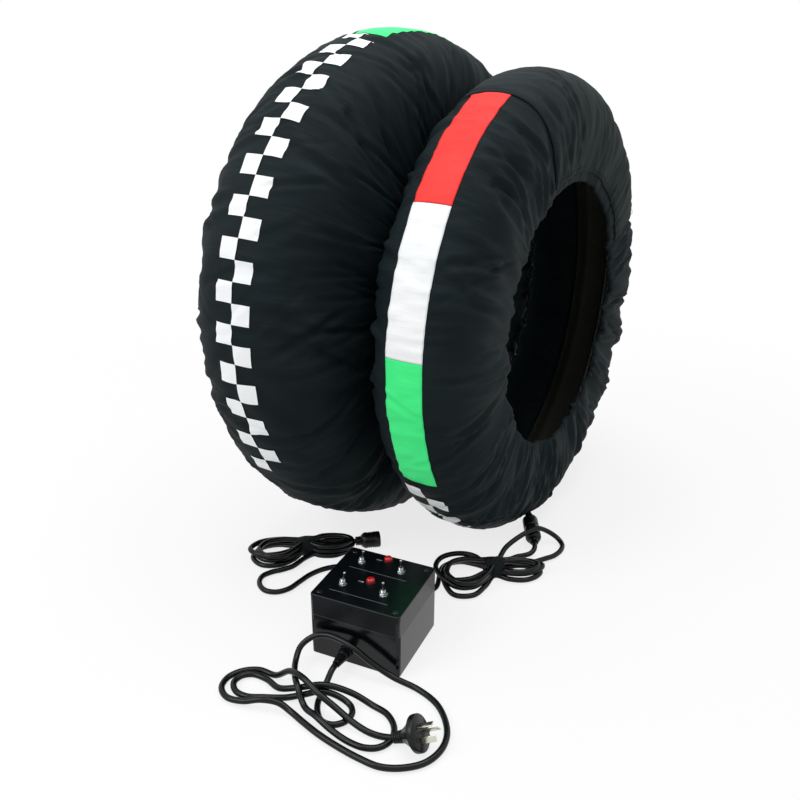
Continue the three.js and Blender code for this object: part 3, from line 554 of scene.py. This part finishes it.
# The flap closes the warmer over the tyre, ends short of the hems and is sewn along its edges
def make_flap(cloth):
    label = cloth.label
    start, arc = cloth.warmer["flap"]
    reach = cloth.hem - FLAP_INSET
    bm = cloth_patch(cloth, start, arc, -reach, reach, 130, 110, FLAP_LIFT, 2.0)
    replaced = [label("closure_flap")]
    flap = add_piece(label("cloth_flap"), bm, flap_cloth, "cover_cloth", replaced, sharp=0)
    add_wall(flap, 1.3)
    label("cloth_cover")
    inset = math.degrees(5 / cloth.warmer["outer"])
    first, last = start + inset, start + arc - inset
    rows = []
    for angle in (first, last):
        along = np.linspace(-reach + 4, reach - 4, 2 * int(reach / 2.3))
        rows.append(cloth.points(np.full(len(along), angle), along, STITCH_LIFT))
    for side in (-1, 1):
        turn = np.linspace(first, last, 2 * int(arc * 1.15))
        rows.append(cloth.points(turn, np.full(len(turn), side * (reach - 5.0)), STITCH_LIFT))
    bm = joined([stitch_row(row) for row in rows])
    add_piece(label("flap_stitches"), bm, black_thread, "cover_cloth", sharp=0)


# Red, white and green panels lie end to end from the flap down, and the checked band follows them
def make_panels(cloth):
    warmer, label = cloth.warmer, cloth.label
    panel_angle = math.degrees(PANEL_ARC / warmer["outer"])
    join = math.degrees(0.4 / warmer["outer"])
    low, high = warmer["middle"] - PANEL_WIDTH / 2, warmer["middle"] + PANEL_WIDTH / 2
    top = warmer["flap"][0] - 2 * join
    for colour, material in (("red", red_cloth), ("white", white_cloth), ("green", green_cloth)):
        bm = cloth_patch(cloth, top, -(panel_angle - join), low, high, 70, 20, PANEL_LIFT)
        facts = (material, colour + "_panel", [label("stripe_" + colour)])
        panel = add_piece(label("panel_" + colour), bm, *facts, sharp=0)
        add_wall(panel, 0.5)
        label("cloth_cover")
        top -= panel_angle
    cell = PANEL_WIDTH / 2
    cell_angle = math.degrees(cell / warmer["outer"])
    top -= math.degrees(warmer["gap"] / warmer["outer"])
    squares = []
    for column in range(warmer["columns"]):
        base = low + (column % 2) * cell
        start = top - column * cell_angle
        span = (-cell_angle, base, base + cell, 10, 10)
        squares.append(cloth_patch(cloth, start, *span, PANEL_LIFT))
    facts = (joined(squares), white_cloth, "white_panel", [label("check_band")])
    band = add_piece(label("checks"), *facts, sharp=0)
    label("cloth_cover")


for warmer in (front, rear):
    cloth = Cloth(warmer)
    make_cover(cloth)
    make_lining(cloth)
    make_flap(cloth)
    make_panels(cloth)
    # The felt, the wire and the sensor are hidden inside
    finish_node(cloth.label("insulation"), grey_felt)
    finish_node(cloth.label("heating_wire"), wire_sleeve)
    finish_node(cloth.label("heat_sensor"), moulded_rubber)


# The control box stands turned on the floor, and everything on it is placed in its own frame
BOX_WIDTH, BOX_DEPTH, BOX_HEIGHT, LID_HEIGHT = 111, 105, 80.5, 27
BOX_CORNER, BOX_YAW, BOX_WALL, LID_GAP = 4, 7.7, 2.5, 0.3
BASE_HEIGHT, LID_TOP = BOX_HEIGHT - LID_HEIGHT, BOX_HEIGHT + LID_GAP
box_turn = Matrix.Rotation(math.radians(BOX_YAW), 4, "Z")


def moved(bm, matrix):
    bmesh.ops.transform(bm, matrix=matrix, verts=bm.verts)
    return bm


def on_box(x, y, z):
    return box_turn @ Matrix.Translation((x * MM, y * MM, z * MM))


# The edges of a shape that stand upright and are longer than a millimetre length
def upright_edges(bm, longer):
    return [e for e in bm.edges if abs(e.verts[0].co.z - e.verts[1].co.z) > longer * MM]


# A block open at its top (1) or its bottom (-1), with rounded upright edges and a soft closed end
def box_shell(height, base, soft_edge, open_side):
    bm = bmesh.new()
    place = Matrix.Translation((0, 0, (base + height / 2) * MM))
    bmesh.ops.create_cube(bm, size=1, matrix=place @ stretched(BOX_WIDTH, BOX_DEPTH, height))
    upright = upright_edges(bm, 1)
    bmesh.ops.bevel(bm, geom=upright, offset=BOX_CORNER * MM, segments=8, **BEVEL)
    level = (base + height if open_side < 0 else base) * MM
    rim = [e for e in bm.edges if all(abs(v.co.z - level) < WELD for v in e.verts)]
    bmesh.ops.bevel(bm, geom=rim, offset=soft_edge * MM, segments=4, **BEVEL)
    gone = [f for f in bm.faces if f.normal.z * open_side > 0.9]
    bmesh.ops.delete(bm, geom=gone, context="FACES_ONLY")
    # A narrow border round each flat side keeps its shading flat beside the rounded edges
    flat = [f for f in bm.faces if f.calc_area() > 400 * MM * MM]
    bmesh.ops.inset_individual(bm, faces=flat, thickness=0.3 * MM)
    return moved(bm, box_turn)


# A turned piece about Z, from points of radius and height in millimetres
def turned(points, steps=32):
    bm = bmesh.new()
    verts = [bm.verts.new((radius * MM, 0, height * MM)) for radius, height in points]
    edges = [bm.edges.new(pair) for pair in zip(verts, verts[1:])]
    turn = {"cent": (0, 0, 0), "axis": (0, 0, 1), "angle": 2 * math.pi, "steps": steps}
    bmesh.ops.spin(bm, geom=verts + edges, use_merge=True, use_duplicate=False, **turn)
    bmesh.ops.remove_doubles(bm, verts=bm.verts, dist=WELD)
    bmesh.ops.recalc_face_normals(bm, faces=bm.faces)
    return bm


# Ribs along a turned outline: the points of the first, and each next one stepped on and grown
def ribs(first, count, step, grow=0.0):
    return [(r + grow * k, z + step * k) for k in range(count) for r, z in first]


# A block with slightly softened edges
def soft_block(size, soft=0.2, segments=2):
    bm = bmesh.new()
    bmesh.ops.create_cube(bm, size=1, matrix=stretched(*size))
    bmesh.ops.bevel(bm, geom=list(bm.edges), offset=soft * MM, segments=segments, **BEVEL)
    return bm


def make_box():
    shell = box_shell(LID_HEIGHT, BASE_HEIGHT + LID_GAP, 1.1, -1)
    add_wall(add_piece("lid_shell", shell, lid_abs, "box_plastic", ["box_lid"]), BOX_WALL, -1)
    shell = box_shell(BASE_HEIGHT, 0, 1, 1)
    add_wall(add_piece("base_shell", shell, box_abs, "box_plastic", ["box_base"]), BOX_WALL, -1)
    # The lip on which the lid sits shows as a dark line between the two
    lip = soft_block((BOX_WIDTH - 2.2, BOX_DEPTH - 2.2, 3), 0.3)
    bmesh.ops.bevel(lip, geom=upright_edges(lip, 2), offset=3.0 * MM, segments=5, **BEVEL)
    lip = moved(lip, on_box(0, 0, BASE_HEIGHT + 0.1))
    add_piece("lid_seal", lip, moulded_rubber, "box_plastic")
    finish_node("circuit_board", board_resin)
    finish_node("power_relay", moulded_rubber)
    # Printed lines and small bars mark the two channels on the lid
    lines, bars = [], []
    for y in (-36, 13):
        lines.append(moved(soft_block((73, 0.7, 0.16), 0.05, 1), on_box(-2.5, y, LID_TOP + 0.05)))
    add_piece("channel_lines", joined(lines), print_grey, "box_plastic")
    for y in (-8.5, 39.5):
        bars.append(moved(soft_block((7, 1.8, 0.7)), on_box(-12.5, y, LID_TOP + 0.3)))
    add_piece("channel_bars", joined(bars), bar_silver, "switch_metal")
    # A countersunk screw with a cross slot holds the lid at each corner
    screws = []
    for x in (-47, 47):
        for y in (-44, 44):
            head = turned([(0, -1.5), (3.1, -1.5), (3.2, 0.05), (2.9, 0.35), (0, 0.6)], 24)
            screws.append(moved(head, on_box(x, y, LID_TOP)))
            for angle in (20, 110):
                place = on_box(x, y, LID_TOP + 0.62) @ Matrix.Rotation(math.radians(angle), 4, "Z")
                screws.append(moved(soft_block((3.4, 0.6, 0.3), 0.05, 1), place))
    add_piece("lid_screws", joined(screws), screw_zinc, "box_plastic")


# Each left lever rests leaning to the right, and each right one stands upright in the middle
def make_switch(row, column, x, y):
    label = f"switch_{row}_{column}"
    # A threaded bushing with a bore for the lever, its washer and its hexagon nut
    thread = ribs([(2.72, 5.95), (3, 5.7)], 6, -0.5)
    bore = [(0, 3.2), (2.2, 4.6), (2.2, 6.5), (2.75, 6.5), (3, 6.2)]
    bushing = turned(bore + thread + [(2.7, 2.6), (2.7, 0)])
    washer = turned([(2.6, 0), (5.6, 0), (5.6, 0.45), (5.3, 0.6), (2.6, 0.6)])
    nut = turned([(2.6, 0.6), (4.55, 0.6), (4.62, 0.8), (4.62, 2.2), (4.3, 2.5), (2.6, 2.5)], 6)
    mount = moved(joined([bushing, washer, nut]), on_box(x, y, LID_TOP))
    add_piece(label + "_mount", mount, chrome, "switch_metal", [label + "_bushing"], sharp=28)
    # The bat lever swells towards its round tip
    points = [(0, -1.8), (1.27, -1.27), (1.8, 0), (1.27, 1.1), (0.9, 1.6), (1, 4), (1.3, 8)]
    points += [(1.6, 11), (1.58, 11.8), (1.3, 12.5), (0.8, 12.9), (0, 13)]
    lean = Matrix.Rotation(math.radians(13 if column == "left" else 0), 4, "Y")
    lever = moved(turned(points, 28), on_box(x, y, LID_TOP + 3.5) @ lean)
    body = f"{row}_{column}_toggle"
    add_piece(label + "_bat", lever, chrome, "switch_metal", [label + "_lever"], body, sharp=0)


# A domed lens in a flat dark ring
def make_lamp(row, x, y):
    points = [(5, 0), (6.2, 0), (6.2, 0.7), (5.9, 1.1), (5.3, 1.2), (5, 1), (5, 0)]
    bezel = moved(turned(points, 36), on_box(x, y, LID_TOP))
    add_piece(f"bezel_{row}", bezel, moulded_rubber, "switch_metal")
    points = [(0, -12), (4.7, -12), (4.95, 0.3), (4.95, 2.4), (4.7, 3.7), (3.9, 4.8)]
    lens = moved(turned(points + [(2.6, 5.5), (1.3, 5.8), (0, 5.9)], 36), on_box(x, y, LID_TOP))
    add_piece(f"lens_{row}", lens, lamp_lens, "red_lamp", [f"lamp_{row}"], sharp=0)


# A gland's flange, nut and ribbed taper, which holds its lead where it leaves the box's side
def make_gland(name, x, side):
    points = [(0, -5.5), (5.5, -5.5), (5.5, 0.3), (8, 0.3), (8, 2.6), (7.7, 3), (7, 3.2)]
    points += [(7, 9.6), (6.6, 10.2)]
    points += ribs([(6.3, 10.6), (6.3, 12), (5.6, 12.3), (5.6, 12.9)], 5, 2.5, -0.38)
    points += [(4.6, 23.2), (4.4, 24), (3.6, 24)]
    place = on_box(x, side * BOX_DEPTH / 2, 15) @ Matrix.Rotation(math.radians(-90 * side), 4, "X")
    shape = moved(turned(points, 28), place)
    add_piece(name + "_relief", shape, moulded_rubber, "connector_rubber", [name])


make_box()
for row, y in (("near", -20), ("far", 28)):
    make_switch(row, "left", -30, y)
    make_switch(row, "right", 21, y)
    make_lamp(row, -2, y + 15)
make_gland("gland_mains", -10.7, -1)
make_gland("gland_rear", -24, 1)
make_gland("gland_front", 24, 1)

# The leads. Each route's points are where the lead lies, one after the other, and a point without a
# height lies on the floor.
mains_route = [
    (-0.3, -77.9, 15), (0.8, -86, 14.6), (2.8, -99, 8), (6, -112), (11, -126), (20, -138),
    (31, -145), (43, -143), (51, -133), (51, -120), (43, -111), (27, -110, 8), (9, -116, 11),
    (-7, -128, 8), (-23, -138), (-43, -150), (-60, -159), (-75, -159), (-86, -150), (-86, -138),
    (-77, -129), (-59, -127), (-36, -133, 7), (-16, -128, 13), (10, -113, 18), (37, -101, 11),
    (62, -98), (83, -101), (99, -113), (105, -129), (100, -143), (88, -151), (69, -153),
    (48, -152, 7), (25, -148, 11), (5, -141, 8), (-14, -129, 20), (-30, -113, 14), (-43, -95, 14),
    (-47, -80, 22), (-38, -68, 31), (-22, -63, 36), (-3, -62, 36), (15, -62, 32), (36, -60, 21),
    (60, -55, 9), (91, -52), (118, -60), (138, -76), (150, -94), (154, -114), (149, -135),
    (133.5, -152.5), (114, -163), (91, -165), (64, -164), (38, -161), (14, -156), (-5, -152, 5),
    (-20, -153, 10), (-38, -160, 11), (-57, -168, 6), (-77, -171), (-92, -163), (-97, -148),
    (-91, -132), (-76, -120), (-55, -117), (-32, -118, 21), (-10, -124, 27), (13, -129, 22),
    (37, -130, 14), (59, -132, 8), (77, -132.5, 5), (88, -131), (97, -128.8, 4.2),
    (105, -126.3, 5.2),
]
front_near = [
    (13.4, 79.8, 15), (12.5, 86, 14.7), (12, 95, 10), (12.4, 106, 5.2), (14.6, 120.5, 4.6),
]
front_loop = [
    (60.1, 210.1, 14), (59.8, 229, 19), (65.5, 250, 24), (74, 272, 27.2), (81, 288, 26.5),
    (91, 302, 17), (103, 307.5, 8), (113.5, 301), (117.5, 286), (115, 269), (108.5, 254, 5.4),
    (101.4, 241.2, 6),
]
front_far = [
    (70.9, 221.6, 9.6), (76, 235, 8), (81.5, 244, 6.6), (87, 252.5, 7), (88.5, 261, 9),
    (86, 269, 11), (82.7, 274.9, 11),
]
rear_near = [
    (-34.1, 73.4, 15), (-35, 80, 14.7), (-40, 93, 8), (-56, 104), (-78, 107), (-100, 102),
    (-120, 91), (-133, 75), (-140, 56), (-142, 36), (-144, 17), (-153, 3), (-168, -2), (-184, 6),
    (-191, 20), (-186.6, 34), (-178, 45, 4.4), (-170.6, 58, 5), (-168.6, 69, 6), (-168.1, 80.3, 6),
]
# A lead's radius, the height of its middle where it lies on the floor, and its line's spacing
CORD_RADIUS, CORD_LYING, CORD_STEP = 3.5, 4, 3.0


# A smooth curve through all its points, which blends their neighbours
def smooth_line(points):
    points = np.array([(*point, CORD_LYING)[:3] for point in points], float)
    ends = np.vstack([2 * points[0] - points[1], points, 2 * points[-1] - points[-2]])
    spans = np.linalg.norm(np.diff(ends, axis=0), axis=1)
    knots = np.concatenate([[0], np.cumsum(spans**0.5)])
    line = []
    for k in range(1, len(ends) - 2):
        mix, t = list(ends[k - 1 : k + 3]), knots[k - 1 : k + 3]
        u = np.linspace(t[1], t[2], max(2, int(spans[k] / CORD_STEP)), endpoint=False)[:, None]
        for lows, highs in (((0, 1, 2), (1, 2, 3)), ((0, 1), (2, 3)), ((1,), (2,))):
            mix = [
                ((t[high] - u) * mix[j] + (u - t[low]) * mix[j + 1]) / (t[high] - t[low])
                for j, (low, high) in enumerate(zip(lows, highs))
            ]
        line.append(mix[0])
    return np.vstack(line + [ends[-2:-1]]) * MM


# A lead along its line
def make_lead(name, points, replaces):
    line = smooth_line(points)
    piece = make_tube(name, line, CORD_RADIUS, sheath_rubber, "cord_sheath", replaces)


# The plug rests on its tail and on the rim of its disc. Its tail is a ribbed sleeve.
def make_plug():
    heading = math.radians(16)
    rim_radius, rim_height, tail = 19, 26, 5.5
    tilt = math.atan2(rim_radius - tail, rim_height)
    x, y = laid(mains_route[-1], 16, 1.5, 0)
    place = Matrix.Translation(Vector((x, y, tail * math.cos(tilt) + 0.3)) * MM)
    place = place @ Matrix.Rotation(heading, 4, "Z") @ Matrix.Rotation(math.pi / 2 - tilt, 4, "Y")
    points = [(3.6, 0), (5, 0), (5.5, 0.6)]
    points += ribs([(5.6, 1.6), (5.6, 3), (4.9, 3.3), (4.9, 3.9)], 4, 2.6, 0.35)
    points += [(7.2, 12.6), (8.2, 14.6), (9.4, 16.4), (12.4, 20), (15, 23), (17.6, 24.6)]
    points += [(18.8, 25.6), (19, 26.4), (19, 30.6), (18.6, 31.6), (18, 32), (0, 32)]
    body = turned(points, 44)
    # Eight shallow grip hollows run round the shoulder of the plug
    for vert in body.verts:
        radius, turn = math.hypot(vert.co.x, vert.co.y), math.atan2(vert.co.y, vert.co.x)
        if 0.010 < radius < 0.0185 and vert.co.z < 0.0262:
            share = 1 - 0.05 * (0.5 + 0.5 * math.cos(8 * turn))
            vert.co.x, vert.co.y = vert.co.x * share, vert.co.y * share
    body = moved(body, place)
    pieces = [add_piece("mains_plug", body, moulded_rubber, "connector_rubber", ["plug_body"])]
    # The earth pin stands upright below, and the other two lean towards each other
    pins = (("pin_earth", -90, 90), ("pin_live", 30, 30), ("pin_neutral", 150, -30))
    for node, *angles in pins:
        turn, lean = map(math.radians, angles)
        spot = Vector((7.9 * math.sin(turn), 7.9 * math.cos(turn), 32.3 + 8.5)) * MM
        spot = place @ Matrix.Translation(spot) @ Matrix.Rotation(lean, 4, "Z")
        pin = moved(soft_block((6.3, 1.6, 17), 0.45, 3), spot)
        pieces.append(add_piece(node + "_blade", pin, pin_nickel, "pin_metal", [node]))
    return pieces


# The outlines of a coupling on a lead's end and of an inlet on a warmer, from the lead's side on
COUPLING = [
    (3.6, 0), (5.6, 0), (6, 0.4),
    *ribs([(6.2, 1.2), (6.2, 2.2), (5.4, 2.5), (5.4, 2.9)], 3, 2, 0.2),
    (7.2, 7.4), (9, 9.6), (10.6, 11.6), (11, 13),
    *ribs([(11, 16), (10.3, 16.4), (10.3, 17.2), (11, 17.6)], 3, 3),
    (11, 26.6), (11, 32.4), (10.6, 33.4), (10, 34), (0, 34),
]
INLET = [
    (0, 0), (4, 0), (4.3, 2),
    *ribs([(4.8, 4), (4.8, 5.6), (4.2, 6), (4.3, 7)], 4, 3.6, 0.8),
    (8, 19.8), (10.4, 20.6), (11, 21.4), (11, 27), (10.4, 27.6), (10.4, 28.6), (11, 29.2),
    (11, 42.6), (10.4, 43.6), (9.6, 44), (0, 44),
]
BARREL_HEIGHT = 11


# A coupling or an inlet, lying on the floor along a heading
def make_barrel(name, node, points, x, y, heading):
    turn = Matrix.Rotation(math.radians(heading), 4, "Z") @ Matrix.Rotation(math.pi / 2, 4, "Y")
    place = Matrix.Translation(Vector((x, y, BARREL_HEIGHT)) * MM)
    shape = moved(turned(points, 36), place @ turn)
    return add_piece(name, shape, moulded_rubber, "connector_rubber", [node])


plug_pieces = make_plug()
make_lead("mains_cord", mains_route, ["mains_lead"])
make_barrel("front_inlet_plug", "front_inlet_socket", INLET, 43.398, 343, -60)
front_coupling = make_barrel("front_coupling", "front_connector", COUPLING, 82.548, 275.19, 120)


# The rear inlet comes out of the left skirt, low at the back
def make_rear_inlet():
    back = 35
    radius = math.hypot(rear["outer"] - SAG - BARREL_HEIGHT, back)
    share = (radius - rear["widest"]) / (rear["outer"] - rear["widest"])
    across = rear["half"] * (1 - share**ROUNDNESS) ** (1 / ROUNDNESS) + 3.8
    x, y = laid(rear["place"], rear["yaw"], -across, back)
    make_barrel("rear_inlet_plug", "rear_inlet_socket", INLET, x, y, 120 + rear["yaw"])


make_rear_inlet()

# Where each hank's waist lies, and the heading of its right lobe
FRONT_HANK = ((62, 190), 41)
REAR_HANK = ((-180, 100), 42)
# Heights of the lead's middle in a hank, from its lowest strands to its top ones
LOW, MIDDLE, HIGH, TOP = 3.8, 11.0, 15.0, 18.2
# The quarters of a hank's turn. Each point has its share of the lobe's reach, of its opening on
# that side and of its tip's place.
FAR_LEFT = ((-1, 0, 1), (-0.84, 0.8, 0.2), (-0.52, 1, 0), (-0.24, 0.66, 0))
FAR_RIGHT = ((0.27, 0.8, 0), (0.6, 1, 0), (0.88, 0.6, 0.4), (1, 0, 1))
NEAR_RIGHT = ((0.88, -0.6, 0.4), (0.6, -1, 0), (0.27, -0.8, 0))
NEAR_LEFT = ((-0.24, -0.62, 0), (-0.52, -1, 0), (-0.84, -0.85, 0.15))


# One turn of a hank in its own frame, from the tip of the left lobe over its far side, through the
# waist, round the right lobe and back. Each lobe has its reach and its opening, far and near.
def hank_turn(left, right, waist_far, waist_near, height):
    def quarter(shares, lobe, opening):
        tip = (lobe[1] - lobe[2]) / 2
        return [(a * lobe[0], b * lobe[opening] + c * tip, height) for a, b, c in shares]

    far = quarter(FAR_LEFT, left, 1) + [(0, *waist_far)] + quarter(FAR_RIGHT, right, 1)
    near = quarter(NEAR_RIGHT, right, 2) + [(0, *waist_near)] + quarter(NEAR_LEFT, left, 2)
    return far + near


# A turn the other way round, from one of its points on
def backwards(turn, first, count=16):
    return [turn[(first - k) % 16] for k in range(count)]


def lay_hank(points, place, heading):
    return [(*laid(place, heading, x, y), z) for x, y, z in points]


# The front lead: three whole turns, then out as a loose loop, in again, and once more through the
# hank to the connector
def make_front_lead():
    first = hank_turn((75, 30, 46), (62, 9, 24), (7.4, LOW), (-7.4, LOW), 4.2)
    second = hank_turn((70, 24, 36), (66, 12, 18), (7.4, MIDDLE), (-7.4, MIDDLE), 9.8)
    third = hank_turn((77, 34, 26), (58, 6, 21), (0.2, LOW), (0, MIDDLE), HIGH)
    fourth = hank_turn((66, 14, 40), (63, 10, 12), (3.8, TOP), (-3.8, TOP), 19)
    inside = (first + second + third)[1:] + fourth[:4] + [(0, 5, 18), (7, 11, 17)]
    again = [(52, 6, 9), (34, 6, 12), (14, 2, 18), (0, -3.8, TOP)]
    again += fourth[13:] + fourth[:3] + [(-14, 10, TOP), (0, 9.5, TOP), (12, 11, HIGH)]
    points = front_near + lay_hank(inside, *FRONT_HANK)
    points += front_loop + lay_hank(again, *FRONT_HANK) + front_far
    nodes = ["front_lead_near", "front_hank", "front_lead_loop", "front_lead_far"]
    make_lead("front_output_cord", points, nodes)


# The rear lead comes in under its hank's waist, goes round nearly four times and ends along the
# right lobe in its connector
def make_rear_lead():
    first = hank_turn((73, 20, 30), (60, 14, 20), (7.4, LOW), (-7.4, LOW), 4.2)
    second = hank_turn((68, 14, 26), (64, 10, 17), (7.4, MIDDLE), (-7.4, MIDDLE), 9.8)
    third = hank_turn((76, 17, 20), (58, 15, 12), (0.2, LOW), (0, MIDDLE), HIGH)
    fourth = hank_turn((64, 10, 31), (62, 8, 20), (3.8, TOP), (-3.8, TOP), 18.8)
    inside = [(10, -13, 5)] + backwards(first, 11, 15) + backwards(second, 12)
    inside += backwards(third, 12) + backwards(fourth, 12, 15)
    inside += [(0, -3.8, TOP), (20, -8.5, 17), (40, -6, 13), (56, -1.5, 11.2)]
    inside += [(64.5, 0, 11), (68.2, 0, 11)]
    place, heading = REAR_HANK
    end = laid(place, heading, 68.3, 0)
    coupling = make_barrel("rear_coupling", "rear_connector", COUPLING, *end, heading)
    points = rear_near + lay_hank(inside, place, heading)
    nodes = ["rear_lead_near", "rear_hank"]
    make_lead("rear_output_cord", points, nodes)


make_front_lead()
make_rear_lead()

STRAP_WIDTH, STRAP_LENGTH = 24.0, 0.072


# A webbing strap round a hank's waist: a squarish loop, slightly drawn in along its middle
def make_strap(side, place, heading):
    bm = bmesh.new()
    bm.loops.layers.uv.new("UVMap")
    bmesh.ops.create_grid(bm, x_segments=48, y_segments=6, size=0.5, calc_uvs=True)
    squarish = lambda value: math.copysign(abs(value) ** 0.7, value)
    for vert in bm.verts:
        a = (vert.co.x + 0.5) * 2 * math.pi
        pinch = 1 + 0.04 * math.cos(2 * math.pi * vert.co.y)
        y = 12.6 * squarish(math.cos(a)) * pinch
        z = 11.2 + 11.0 * squarish(math.sin(a)) * pinch
        x, y = laid(place, heading, vert.co.y * STRAP_WIDTH, y)
        vert.co = (x * MM, y * MM, max(z, 0.3) * MM)
    bmesh.ops.remove_doubles(bm, verts=bm.verts, dist=WELD)
    strap = add_piece(side + "_strap", bm, black_thread, "cover_cloth", sharp=0)
    add_wall(strap, 1.0, 0.0)


make_strap("front", *FRONT_HANK)
make_strap("rear", *REAR_HANK)


# The cleared node tree of a material or a world
def clear_tree(owner):
    owner.use_nodes = True
    owner.node_tree.nodes.clear()
    return owner.node_tree


# 1 for the rays that meet plain white: the camera's own, mirrored ones and ones let through
def white_share(tree):
    rays = add_node(tree, "LightPath").outputs
    share = rays["Is Camera Ray"]
    for kind in ("Is Glossy Ray", "Is Transmission Ray"):
        share = add_node(tree, "Math", {0: share, 1: rays[kind]}, operation="MAXIMUM").outputs[0]
    return share


# A pale floor, which keeps the object's shadow and passes into the white background far from it
def make_floor():
    bm = bmesh.new()
    bmesh.ops.create_grid(bm, x_segments=1, y_segments=1, size=6.0)
    mesh = bpy.data.meshes.new("floor")
    bm.to_mesh(mesh)
    bm.free()
    floor = bpy.data.objects.new("floor", mesh)
    floor.location.z = -0.0005
    scene.collection.objects.link(floor)
    material = bpy.data.materials.new("white studio floor")
    tree = clear_tree(material)
    matt = add_node(tree, "BsdfDiffuse", {"Color": (0.8, 0.8, 0.8, 1)}).outputs["BSDF"]
    glow = add_node(tree, "Emission", {"Color": (1, 1, 1, 1), "Strength": 1.0}).outputs["Emission"]
    place = add_node(tree, "TexCoord").outputs["Object"]
    away = add_node(tree, "VectorMath", {0: place}, operation="LENGTH").outputs["Value"]
    fade = {"Value": away, "From Min": 0.5, "From Max": 1.5, "To Min": 0.78, "To Max": 1.0}
    fade = add_node(tree, "MapRange", fade).outputs["Result"]
    share = add_node(tree, "Math", {0: white_share(tree), 1: fade}, operation="MULTIPLY")
    mixed = add_node(tree, "MixShader", {"Fac": share.outputs["Value"], 1: matt, 2: glow})
    add_node(tree, "OutputMaterial", {"Surface": mixed.outputs["Shader"]})
    mesh.materials.append(material)


# Soft light from all round and two square lamps, before white paper
def make_lights():
    world = bpy.data.worlds.new("studio")
    scene.world = world
    tree = clear_tree(world)
    white = {"Color": (1, 1, 1, 1)}
    room = add_node(tree, "Background", {**white, "Strength": 0.55}).outputs["Background"]
    paper = add_node(tree, "Background", {**white, "Strength": 1.0}).outputs["Background"]
    mixed = add_node(tree, "MixShader", {"Fac": white_share(tree), 1: room, 2: paper})
    add_node(tree, "OutputWorld", {"Surface": mixed.outputs["Shader"]})
    for name, place, aim, size, power in (
        ("key", (-1.3, -1.9, 2.3), (-0.1, 0.3, 0.3), 1.6, 42),
        ("top", (0.1, 0.5, 2.8), (-0.1, 0.35, 0.3), 2.2, 46),
    ):
        light = bpy.data.lights.new(name, "AREA")
        light.shape = "SQUARE"
        light.size = size
        light.energy = power
        set_up(name, light, place, aim)


make_floor()
make_lights()
scene.view_settings.view_transform = "Standard"
